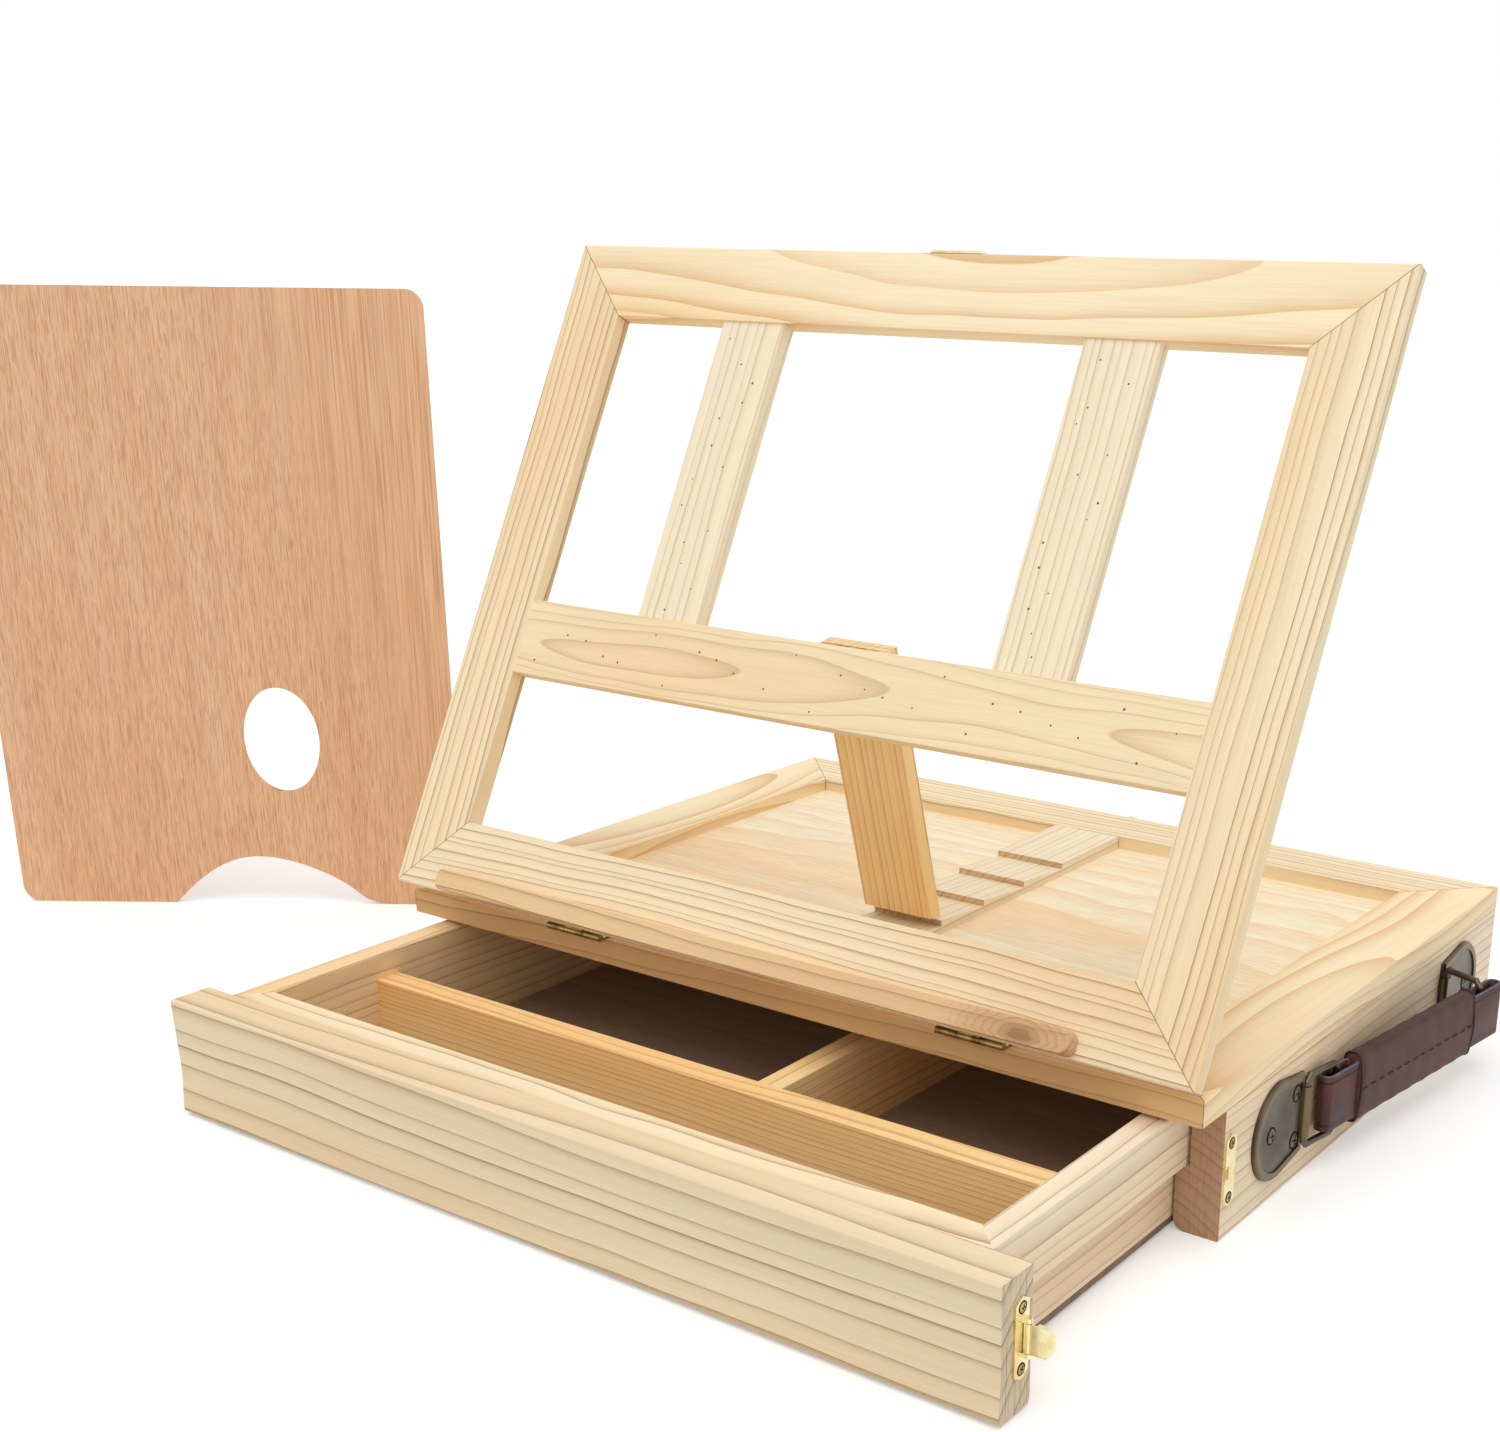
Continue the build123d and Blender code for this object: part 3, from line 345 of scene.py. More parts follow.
# Each wooden member: look, way of the grain, outward face, seed, pith beside it, ring pitch,
# and the wave of the pith along it: where it comes nearest to the face, its length and its height
straight = (0.0, 1.0, 0.0)
members = {
    "case_wall_left": ("wallPine", alongY, -alongX, 3, (-0.10, -0.06), 0.0042, straight),
    "case_wall_right": ("wallPine", alongY, alongX, 5, (-0.12, -0.05), 0.0045, straight),
    "case_back": ("wallPine", alongX, alongY, 7, (-0.08, -0.08), 0.0040, straight),
    "board_rail_front": ("edgePine", alongX, upward, 11, (-0.10, -0.05), 0.0040, straight),
    "board_rail_back": ("pine", alongX, upward, 13, (-0.11, -0.05), 0.0044, straight),
    "board_stile_left": ("broadPine", alongY, upward, 17, (0.012, -0.026), 0.0060, (0.02, 0.30, 0.009)),
    "board_stile_right": ("broadPine", alongY, upward, 19, (-0.012, -0.0195), 0.0060, (-0.06, 0.30, 0.008)),
    "board_panel": ("plywood", alongX, upward, 23, (0.0, -0.05), 0.011, straight),
    "ratchet_board": ("battenPine", alongY, upward, 29, (-0.06, -0.05), 0.0034, straight),
    "drawer_face": ("facePine", alongX, -alongY, 31, (-0.10, -0.10), 0.0060, straight),
    "drawer_front": ("pine", alongX, -alongY, 37, (-0.12, -0.05), 0.0044, straight),
    "drawer_back": ("sidePine", alongX, alongY, 41, (-0.12, -0.05), 0.0040, straight),
    "drawer_side_left": ("sidePine", alongY, -alongX, 43, (-0.10, -0.06), 0.0044, straight),
    "drawer_side_right": ("wallPine", alongY, alongX, 47, (0.09, -0.06), 0.0052, straight),
    "drawer_bottom": ("drawerPly", alongX, upward, 53, (0.0, -0.06), 0.012, straight),
    "divider_long": ("warmPine", alongX, -alongY, 59, (-0.16, -0.06), 0.0021, straight),
    "divider_cross": ("warmPine", alongY, alongX, 61, (-0.12, -0.06), 0.0030, straight),
    "frame_rail_bottom": ("pine", alongX, frameOut, 67, (-0.16, -0.05), 0.0036, straight),
    "frame_rail_top": ("broadPine", alongX, frameOut, 71, (0.020, -0.016), 0.0066, (0.02, 0.46, 0.010)),
    "frame_stile_left": ("pine", frameUp, frameOut, 73, (-0.15, -0.04), 0.0048, straight),
    "frame_stile_right": ("pine", frameUp, frameOut, 79, (-0.16, -0.04), 0.0044, straight),
    "mid_rail": ("calmPine", alongX, frameOut, 83, (-0.001, -0.0135), 0.0023, (-0.105, 0.38, 0.0046)),
    "batten_left": ("battenPine", frameUp, frameOut, 89, (-0.10, -0.05), 0.0048, straight),
    "batten_right": ("battenPine", frameUp, frameOut, 97, (-0.10, -0.05), 0.0040, straight),
    "canvas_ledge": ("ledgePine", alongX, frameOut, 101, (-0.02, -0.03), 0.0030, straight),
    "prop_leg": ("warmPine", legDown, -legOut, 103, (-0.10, -0.05), 0.0036, straight),
    "palette": ("paletteWood", upward, paletteOut, 107, (0.30, -0.10), 0.020, straight),
}
knotsIn = {"canvas_ledge": [{"at": (0.148, -0.001, 0.002), "size": 0.008, "swirls": 620.0}]}


# Mitre seams: planes through the outer corners of the frame and of the board
def reachOf(nodeName, way):
    levels = [vert.co.dot(way) for vert in nodes[nodeName].data.vertices]
    return min(levels), max(levels)


seamsIn = {}
for group, wayAlong, rails in (("frame", frameUp, ("bottom", "top")), ("board", alongY, ("front", "back"))):
    firstRail, lastRail = [group + "_rail_" + rail for rail in rails]
    sides = reachOf(firstRail, alongX)
    ends = (reachOf(firstRail, wayAlong)[0], reachOf(lastRail, wayAlong)[1])
    for side, stile in enumerate((group + "_stile_left", group + "_stile_right")):
        for end, rail in enumerate((firstRail, lastRail)):
            corner = alongX * sides[side] + wayAlong * ends[end]
            across = (alongX * (1 if side else -1) - wayAlong * (1 if end else -1)).normalized()
            for member in (stile, rail):
                seamsIn.setdefault(member, []).append((corner, across))

for nodeName, plan in members.items():
    dress(nodeName, woodMaterial(nodeName, *plan, knotsIn.get(nodeName, ()), seamsIn.get(nodeName, ())))
print("wood finished")

# Metals, clouded between a bright and a dull tone; "rim" is the tone of a handle plate's rubbed edge
metalLooks = {
    "brass": {"bright": colour(246, 234, 190), "dull": colour(228, 208, 146), "roughness": (0.2, 0.32),
              "cloudScale": 110.0, "fineScale": 2600.0, "bump": 0.08},
    "hingeBrass": {"bright": colour(186, 160, 100), "dull": colour(128, 102, 56), "roughness": (0.28, 0.42),
                   "cloudScale": 160.0, "fineScale": 2600.0, "bump": 0.1},
    "bronze": {"bright": colour(104, 96, 84), "dull": colour(84, 76, 66), "roughness": (0.3, 0.42),
               "cloudScale": 55.0, "fineScale": 1800.0, "bump": 0.12, "rim": colour(118, 102, 72)},
    "screwSteel": {"bright": colour(196, 172, 116), "dull": colour(140, 114, 66), "roughness": (0.25, 0.4),
                   "cloudScale": 300.0, "fineScale": 2600.0, "bump": 0.15},
    "plateSteel": {"bright": colour(112, 104, 90), "dull": colour(86, 78, 64), "roughness": (0.28, 0.4),
                   "cloudScale": 200.0, "fineScale": 2600.0, "bump": 0.15},
    "recessShade": {"bright": colour(44, 36, 26), "dull": colour(30, 24, 18), "roughness": (0.6, 0.8),
                    "cloudScale": 300.0, "fineScale": 2600.0, "bump": 0.15},
}
metalSurface = {
    "cloudRange": (0.38, 0.66), "glossRange": (0.3, 0.7), "bumpDepth": 0.0001,
    "plateLift": 0.0022, "rimFade": (0.0005, 0.0003),
}


def metalMaterial(name, look, rimLevel=None):
    material, tree, shader = newMaterial(name)
    place = addNode(tree, "ShaderNodeTexCoord").outputs["Object"]
    cloud = noiseAt(tree, place, look["cloudScale"], 4.0)
    tone = blend(tree, ramp(tree, cloud, *metalSurface["cloudRange"]), look["bright"], look["dull"])
    if rimLevel:
        height = addNode(tree, "ShaderNodeSeparateXYZ", {0: place}).outputs[0]
        onRim = ramp(tree, height, *(rimLevel - fade for fade in metalSurface["rimFade"]))
        tone = blend(tree, onRim, tone, look["rim"])
    tree.links.new(tone, shader.inputs["Base Color"])
    low, high = metalSurface["glossRange"]
    least, most = look["roughness"]
    rough = addNode(tree, "ShaderNodeMapRange", {
        "Value": cloud, "From Min": low, "From Max": high, "To Min": least, "To Max": most,
    })
    tree.links.new(rough.outputs[0], shader.inputs["Roughness"])
    fine = noiseAt(tree, place, look["fineScale"])
    addBump(tree, shader, fine, look["bump"], metalSurface["bumpDepth"])
    shader.inputs["Metallic"].default_value = 1.0
    return material


metals = {name: metalMaterial(name, look) for name, look in metalLooks.items()}
metalNodes = {
    "brass": (
        "drawer_keeper", "back_keeper", "drawer_catch_plate", "drawer_catch_pin", "drawer_catch_arm",
        "frame_catch_plate", "frame_catch_pin", "frame_catch_arm",
    ),
    "hingeBrass": (
        "hinge_lower_leaf_left", "hinge_lower_leaf_right", "hinge_upper_leaf_left", "hinge_upper_leaf_right",
        "hinge_pins", "prop_hinge_leaf_rail", "prop_hinge_leaf_leg", "prop_hinge_pin",
    ),
    "bronze": ("handle_ring_front", "handle_ring_rear"),
}
for metalName, nodeNames in metalNodes.items():
    for nodeName in nodeNames:
        dress(nodeName, metals[metalName])
for nodeName in ("handle_plate_front", "handle_plate_rear"):
    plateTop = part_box(nodeName)[0][0] + metalSurface["plateLift"]
    dress(nodeName, metalMaterial(nodeName + "_bronze", metalLooks["bronze"], plateTop))
print("metals finished")


def speckledMaterial(name, scale, dark, pale, roughness):
    material, tree, shader = newMaterial(name)
    place = addNode(tree, "ShaderNodeTexCoord").outputs["Object"]
    tree.links.new(blend(tree, noiseAt(tree, place, scale), dark, pale), shader.inputs["Base Color"])
    shader.inputs["Roughness"].default_value = roughness
    return material


# Meshes made here: rows of corners joined into strips, turned outward and given their finishes
def circle(sides):
    angles = [math.tau * index / sides for index in range(sides)]
    return [(math.cos(angle), math.sin(angle)) for angle in angles]


def rowAt(form, points, level):
    return [form.verts.new((point[0], point[1], level)) for point in points]


def joinRows(form, low, high):
    for index in range(len(low)):
        after = (index + 1) % len(low)
        form.faces.new((low[index], high[index], high[after], low[after]))


def newObject(name, data):
    made = bpy.data.objects.new(name, data)
    bpy.context.scene.collection.objects.link(made)
    return made


def shapedObject(name, form, finishes=(), smooth=False, slotRule=None, size=1.0):
    bmesh.ops.recalc_face_normals(form, faces=form.faces)
    for face in form.faces:
        face.smooth = smooth
        if slotRule:
            face.material_index = slotRule(face)
    bmesh.ops.scale(form, vec=(size, size, size), verts=form.verts)
    mesh = bpy.data.meshes.new(name)
    form.to_mesh(mesh)
    form.free()
    for finish in finishes:
        mesh.materials.append(finish)
    return newObject(name, mesh)


# Geometry Nodes: a tree's sockets, and its end, where the copies become plain faces with a finish
def newTree(name, inputs):
    tree = bpy.data.node_groups.new(name, "GeometryNodeTree")
    for inputName, kind in inputs.items():
        tree.interface.new_socket(inputName, in_out="INPUT", socket_type="NodeSocket" + kind)
    tree.interface.new_socket("Geometry", in_out="OUTPUT", socket_type="NodeSocketGeometry")
    return tree, tree.nodes.new("NodeGroupInput").outputs


def endTree(tree, copies, finish):
    solid = addNode(tree, "GeometryNodeRealizeInstances", {"Geometry": copies.outputs[0]}).outputs[0]
    ended = addNode(tree, "GeometryNodeSetMaterial", {"Geometry": solid, "Material": finish}).outputs[0]
    addNode(tree, "NodeGroupOutput", {0: ended})
    return tree


# One shape set on every point of a mesh, facing the point's own way
def pointTree():
    tree, entry = newTree("repeatOnPoints", {
        "Geometry": "Geometry", "Shape": "Object", "Size": "Float", "Size Spread": "Float",
        "Spin": "Float", "Seed": "Int", "Finish": "Material",
    })

    def chosen(least, most):
        inputs = {2: least, 3: most, "Seed": entry["Seed"]}
        return addNode(tree, "FunctionNodeRandomValue", inputs, data_type="FLOAT").outputs[1]

    facing = addNode(tree, "GeometryNodeInputNamedAttribute", {"Name": "facing"}, data_type="FLOAT_VECTOR")
    aim = addNode(tree, "FunctionNodeAlignRotationToVector", {"Vector": facing.outputs[0]}, axis="Z")
    spin = addNode(tree, "ShaderNodeCombineXYZ", {2: chosen(0.0, entry["Spin"])})
    inputs = {0: aim.outputs[0], 1: spin.outputs[0]}
    turned = addNode(tree, "FunctionNodeRotateRotation", inputs, rotation_space="LOCAL").outputs[0]
    least = sums(tree, "SUBTRACT", entry["Size"], entry["Size Spread"])
    most = sums(tree, "ADD", entry["Size"], entry["Size Spread"])
    shape = addNode(tree, "GeometryNodeObjectInfo", {"Object": entry["Shape"]}).outputs["Geometry"]
    points = addNode(tree, "GeometryNodeMeshToPoints", {"Mesh": entry["Geometry"]}).outputs[0]
    copies = addNode(tree, "GeometryNodeInstanceOnPoints", {
        "Points": points, "Instance": shape, "Rotation": turned, "Scale": chosen(least, most),
    })
    return endTree(tree, copies, entry["Finish"])


repeatOnPoints = pointTree()


def plainPiece(name, source, tree, values):
    modifier = source.modifiers.new("rule", "NODES")
    modifier.node_group = tree
    for item in tree.interface.items_tree:
        if item.in_out == "INPUT" and item.name in values:
            modifier[item.identifier] = values[item.name]
    bpy.context.view_layer.update()
    ready = source.evaluated_get(bpy.context.evaluated_depsgraph_get())
    mesh = bpy.data.meshes.new_from_object(ready)
    mesh.name = name
    source.modifiers.remove(modifier)
    bpy.data.objects.remove(source)
    return newObject(name, mesh)


def pointCloud(name, spots):
    mesh = bpy.data.meshes.new(name)
    mesh.from_pydata([tuple(spot) for spot, _ in spots], [], [])
    facing = mesh.attributes.new("facing", "FLOAT_VECTOR", "POINT")
    for index, (_, way) in enumerate(spots):
        facing.data[index].vector = way
    return newObject(name, mesh)


# Screws: a low domed head with a cross recess, on the shank that the wood hides; lengths in millimetres
millimetre = 0.001
screwLook = {
    "headRadius": 2.1, "dome": 0.38, "crownShare": 0.45, "crownLevel": 0.72, "shankRadius": 0.85,
    "neckDepth": 0.85, "length": 6.4, "tip": 0.8, "slotHalf": 0.27, "slotReach": 1.25, "slotDepth": 0.75,
    "floorShare": 0.8, "shadeDepth": 0.12, "shadeShare": 0.99,
}
# Painted shadow: a dark ring standing for the shaded edge of the countersink round a head; its section goes
# by radius and level
shadowRingLook = {"section": ((1.7, -0.3), (1.7, 0.13), (2.05, 0.10), (2.05, -0.3)), "sides": 24, "size": 1.16}


def crossOutline(share=1.0):
    slot, reach = screwLook["slotHalf"] * share, screwLook["slotReach"] * share
    points = []
    for quarter in range(4):
        turn = Matrix.Rotation(quarter * math.pi / 2, 2)
        points += [turn @ Vector(point) for point in ((reach, slot), (slot, slot), (slot, reach))]
    return points


def recessShape():  # the shaded floor of the cross recess
    form = bmesh.new()
    outline = crossOutline(screwLook["shadeShare"])
    low = rowAt(form, outline, screwLook["dome"] - screwLook["slotDepth"])
    top = rowAt(form, outline, screwLook["dome"] - screwLook["shadeDepth"])
    form.faces.new(low)
    form.faces.new(top)
    joinRows(form, low, top)
    return shapedObject("recessShape", form, size=millimetre)


# Painted shadow: the dark ring round a countersunk head
def collarShape():
    form = bmesh.new()
    corners = circle(shadowRingLook["sides"])
    rows = [rowAt(form, [(x * radius, y * radius) for x, y in corners], level)
            for radius, level in shadowRingLook["section"]]
    for inner, outer in zip(rows, rows[1:] + rows[:1]):
        joinRows(form, inner, outer)
    return shapedObject("collarShape", form, size=millimetre)


def screwShape():
    look = screwLook
    form = bmesh.new()
    cross = crossOutline()
    angles = [math.atan2(point.y, point.x) for point in cross]
    ends = [Vector((math.cos(angle), math.sin(angle))) * look["headRadius"] for angle in angles]
    crown = [point * look["crownShare"] + end * (1 - look["crownShare"]) for point, end in zip(cross, ends)]
    shank = [end * (look["shankRadius"] / look["headRadius"]) for end in ends]
    rows = [
        rowAt(form, [point * look["floorShare"] for point in cross], look["dome"] - look["slotDepth"]),
        rowAt(form, cross, look["dome"]),
        rowAt(form, crown, look["dome"] * look["crownLevel"]),
        rowAt(form, ends, 0.0),
        rowAt(form, shank, -look["neckDepth"]),
        rowAt(form, shank, look["tip"] - look["length"]),
    ]
    form.faces.new(rows[0])
    for inner, outer in zip(rows, rows[1:]):
        joinRows(form, inner, outer)
    point = form.verts.new((0, 0, -look["length"]))
    last = rows[-1]
    for index in range(len(last)):
        form.faces.new((last[index], point, last[(index + 1) % len(last)]))
    return shapedObject("screwShape", form, size=millimetre)


def pairOf(middle, step, way):
    return [(middle + step * side, way) for side in (-1, 1)]


# Where the screws stand, in metres: "Out" is to the side and "Run" to the back. The lower leaf's place
# is a run and a level, the upper one's is how far up the frame and out of it
places = {
    "catchOut": 0.211, "catchLevel": 0.0295, "catchSpread": 0.0115, "keeperRun": -0.1319,
    "drawerRun": -0.2824, "backKeeper": (0.004, 0.1572, 0.061), "frameCatch": (0.004, 0.3206, 0.0056),
    "plateOut": 0.2115, "plateLevel": 0.0305, "plates": ((-0.067, -1), (0.0855, 1)),
    "plateSpots": ((0.0075, 0.0104), (0.0075, -0.0104), (0.030, 0.0)),
    "hinges": (-0.1038, 0.1084), "hingeSpread": 0.032 / 3, "lowerLeaf": (-0.1499, 0.06773),
    "upperLeaf": (0.0085, 0.00032), "propPin": (0, 0.1462, 0.0002), "propStep": 0.0078,
    "propLift": 0.00035, "propSpread": 0.01,
}
catchStep = places["catchSpread"]
hingeStep = alongX * places["hingeSpread"]
propStep = alongX * places["propSpread"]
keeperPoint = Vector((places["catchOut"], places["keeperRun"], places["catchLevel"]))
drawerPoint = Vector((places["catchOut"], places["drawerRun"], places["catchLevel"]))
caseScrews = pairOf(keeperPoint, upward * catchStep, alongX)
caseScrews += pairOf(Vector(places["backKeeper"]), alongX * catchStep, alongY)
drawerScrews = pairOf(drawerPoint, upward * catchStep, alongX)
catchScrews = pairOf(frameSpot(*places["frameCatch"]), alongX * catchStep, frameUp)
plateScrews = []
for pivot, way in places["plates"]:
    for run, rise in places["plateSpots"]:
        spot = Vector((places["plateOut"], pivot + way * run, places["plateLevel"] + rise))
        plateScrews.append((spot, alongX))
lowerScrews = []
leafScrews = []
for middle in places["hinges"]:
    lowerScrews += pairOf(Vector((middle, *places["lowerLeaf"])), hingeStep, upward)
    leafScrews += pairOf(frameSpot(middle, *places["upperLeaf"]), hingeStep, -frameOut)
propPin = frameSpot(*places["propPin"])
railPoint = propPin - frameUp * places["propStep"] + frameOut * places["propLift"]
legPoint = propPin + legDown * places["propStep"] + legOut * places["propLift"]
railScrews = pairOf(railPoint, propStep, -frameOut)
legScrews = pairOf(legPoint, propStep, -legOut)
print("screw places worked out")

# Each set: body, size, finish, seed and spots
screwSets = {
    "caseScrews": ("case", 1.0, "screwSteel", 4, caseScrews),
    "plateScrews": ("case", 1.6, "plateSteel", 2, plateScrews),
    "hingeScrews": ("case", 0.72, "hingeBrass", 5, lowerScrews),
    "drawerScrews": ("drawer", 1.0, "screwSteel", 6, drawerScrews),
    "leafScrews": ("easel", 0.72, "hingeBrass", 7, leafScrews + railScrews),
    "frameCatchScrews": ("easel", 1.0, "screwSteel", 8, catchScrews),
    "legScrews": ("prop", 0.72, "hingeBrass", 9, legScrews),
}


def screwPiece(name, ending, shape, share, spin, shade=None):
    body, size, finish, seed, spots = screwSets[name]
    cloud = pointCloud(name + ending + "Spots", spots)
    piece = plainPiece(name + ending, cloud, repeatOnPoints, {
        "Shape": shape, "Size": size * share, "Size Spread": 0.0, "Spin": spin, "Seed": seed,
        "Finish": metals[shade or finish],
    })
    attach(piece, body)


screwForm, recessForm, shadowRingForm = screwShape(), recessShape(), collarShape()
for name in screwSets:
    screwPiece(name, "", screwForm, 1.0, math.tau)
    screwPiece(name, "Recess", recessForm, 1.0, math.tau, "recessShade")
# Painted shadow of the countersink round the heads of these sets
for name in ("plateScrews", "caseScrews", "drawerScrews"):
    screwPiece(name, "Collar", shadowRingForm, shadowRingLook["size"], 0.0, "recessShade")
for shape in (screwForm, recessForm, shadowRingForm):
    bpy.data.objects.remove(shape)
print("screws set")

# Pin holes in the middle rail and the battens: dark dots in loose rows, a little proud of the wood, with the
# shade inside each hole painted on them
holeLook = {
    "radius": 0.00048, "sink": 0.0004, "sides": 12, "lipShare": 0.6, "lipRise": 0.00004, "baseShare": 0.9,
    "sizeSpread": 0.25,
}
holeRows = {
    "railFace": 0.00995, "railCount": 26, "railStart": -0.165, "railStep": 0.0132, "railStray": 0.003,
    "railRow": 0.1155, "rowStep": 0.0065, "rowStray": 0.0015, "oddRise": 0.009,
    "battenFace": 0.00895, "battens": (-0.0946, 0.0946), "battenCount": 14, "battenStart": 0.150,
    "battenStep": 0.0097, "battenStray": 0.002, "columns": (-0.009, -0.002, 0.008),
}


def pinHoleShape():
    form = bmesh.new()
    corners = [Vector(corner) * holeLook["radius"] for corner in circle(holeLook["sides"])]
    rim = rowAt(form, corners, 0)
    lip = rowAt(form, [corner * holeLook["lipShare"] for corner in corners], holeLook["lipRise"])
    base = rowAt(form, [corner * holeLook["baseShare"] for corner in corners], -holeLook["sink"])
    form.faces.new(lip)
    form.faces.new(reversed(base))
    joinRows(form, rim, lip)
    joinRows(form, base, rim)
    return shapedObject("pinHoleShape", form)


picks = random.Random(17)


def stray(reach):
    return picks.uniform(-reach, reach)


holeSpots = []
for index in range(holeRows["railCount"]):
    across = holeRows["railStart"] + index * holeRows["railStep"] + stray(holeRows["railStray"])
    row = holeRows["railRow"] + (index % 3) * holeRows["rowStep"] + stray(holeRows["rowStray"])
    row += holeRows["oddRise"] if index % 2 else 0
    holeSpots.append((frameSpot(across, row, holeRows["railFace"]), frameOut))
for middle in holeRows["battens"]:
    for index in range(holeRows["battenCount"]):
        up = holeRows["battenStart"] + index * holeRows["battenStep"] + stray(holeRows["battenStray"])
        across = middle + picks.choice(holeRows["columns"]) + stray(holeRows["battenStray"])
        holeSpots.append((frameSpot(across, up, holeRows["battenFace"]), frameOut))
pinHoleShade = pinHoleShape()
holes = plainPiece("pinHoles", pointCloud("pinHoleSpots", holeSpots), repeatOnPoints, {
    "Shape": pinHoleShade, "Size": 1.0, "Size Spread": holeLook["sizeSpread"], "Spin": math.tau, "Seed": 3,
    # Painted shade: the dark brown of each hole's inside
    "Finish": speckledMaterial("pinHoleShade", 900.0, colour(112, 82, 52), colour(140, 106, 70), 0.8),
})
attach(holes, "easel")
bpy.data.objects.remove(pinHoleShade)
print("pin holes set")

# Leather strap: a loop round each ring, and a padded cover between them with welts and stitched lines
strapLook = {
    "front": (0.215947, -0.046319), "rear": (0.231771, 0.077633), "level": 0.0305,
    "loopHeight": 0.025, "loopThick": 0.0075, "wall": 0.0016, "loopEdge": 0.0004, "edgeTilt": 0.4,
    "loopSteps": 12, "frontTail": 0.011, "rearTail": 0.0172, "tuck": 0.002,
    "coverFrom": 0.013, "coverBack": 0.012, "coverHeight": 0.031, "coverThick": 0.008, "edgeRound": 0.0032,
    "roundSteps": 4, "crown": 0.0010, "crownShares": (0.75, 0.5, 0.25, 0.0, -0.25, -0.5, -0.75),
    "foldBand": 0.0009, "endLength": 0.0008, "endShrink": 0.0006,
    "waves": 24, "waveHeight": 0.00012, "waveTurn": 1.9,
    "creaseRise": 0.0095, "creaseFade": (0.0007, 0.0003), "creaseTone": colour(30, 18, 17),
    "weltRadius": 0.0006, "weltAlong": 0.0006, "threadSides": 8,
    "stitchPitch": 0.0066, "stitchLength": 0.0046, "stitchRadius": 0.0007, "stitchFlat": 0.7,
    "stitchShares": (-1, -0.85, -0.4, 0.4, 0.85, 1), "stitchSink": 0.00005, "stitchMargin": 0.004,
}
leatherLook = {
    "cells": 1500.0, "cellEdge": 0.25, "broad": 90.0, "rubRange": (0.35, 0.75), "fine": 2600.0,
    "cellHeight": 0.6, "fineHeight": 0.4, "bump": 0.3, "bumpDepth": 0.00015, "gloss": (-0.08, 0.1),
    "specular": 0.32,
}
strapFrom = Vector((*strapLook["front"], strapLook["level"]))
strapTo = Vector((*strapLook["rear"], strapLook["level"]))
strapWay = (strapTo - strapFrom).normalized()
strapSpan = (strapTo - strapFrom).length
strapOut = strapWay.cross(upward)  # away from the wall


def strapSpot(along, out, rise):
    return strapFrom + strapWay * along + strapOut * out + upward * rise


def leatherMaterial(name, body, rub, roughness, creased=False):
    look = leatherLook
    material, tree, shader = newMaterial(name)
    place = addNode(tree, "ShaderNodeTexCoord").outputs["Object"]
    cells = addNode(tree, "ShaderNodeTexVoronoi", {
        "Vector": place, "Scale": look["cells"],
    }, feature="DISTANCE_TO_EDGE").outputs["Distance"]
    broad = noiseAt(tree, place, look["broad"], 4.0)
    fine = noiseAt(tree, place, look["fine"], 3.0)
    tone = blend(tree, ramp(tree, broad, *look["rubRange"]), body, rub)
    if creased:
        level = addNode(tree, "ShaderNodeSeparateXYZ", {0: place}).outputs[2]
        fromMiddle = sums(tree, "ABSOLUTE", sums(tree, "SUBTRACT", level, strapLook["level"]))
        fromCrease = sums(tree, "ABSOLUTE", sums(tree, "SUBTRACT", fromMiddle, strapLook["creaseRise"]))
        onCrease = ramp(tree, fromCrease, *strapLook["creaseFade"])
        tone = blend(tree, onCrease, tone, strapLook["creaseTone"])
    tree.links.new(tone, shader.inputs["Base Color"])
    cellHeight = times(tree, ramp(tree, cells, 0.0, look["cellEdge"]), look["cellHeight"])
    height = sums(tree, "ADD", cellHeight, times(tree, fine, look["fineHeight"]))
    addBump(tree, shader, height, look["bump"], look["bumpDepth"])
    least, most = [roughness + change for change in look["gloss"]]
    gloss = addNode(tree, "ShaderNodeMapRange", {"Value": broad, "To Min": least, "To Max": most})
    tree.links.new(gloss.outputs[0], shader.inputs["Roughness"])
    shader.inputs["Specular IOR Level"].default_value = look["specular"]
    return material


leather = leatherMaterial("strapLeather", colour(72, 37, 30), colour(94, 54, 45), 0.5)
loopLeather = leatherMaterial("strapLoopLeather", colour(68, 36, 30), colour(98, 57, 48), 0.44, True)
leatherEdge = leatherMaterial("strapEdge", colour(84, 84, 94), colour(110, 112, 122), 0.6)
leatherFold = leatherMaterial("strapFold", colour(58, 32, 28), colour(78, 46, 40), 0.5)
thread = speckledMaterial("strapThread", 3000.0, colour(34, 19, 19), colour(54, 31, 29), 0.7)


def sweptPiece(name, loops, isClosed, finishes, slotRule=None):
    form = bmesh.new()
    rows = [[form.verts.new(point) for point in row] for row in loops]
    for low, high in zip(rows, rows[1:]):
        joinRows(form, low, high)
    if isClosed:
        form.faces.new(reversed(rows[0]))
        form.faces.new(rows[-1])
    else:
        bmesh.ops.remove_doubles(form, verts=form.verts, dist=1e-7)
    return shapedObject(name, form, finishes, True, slotRule)


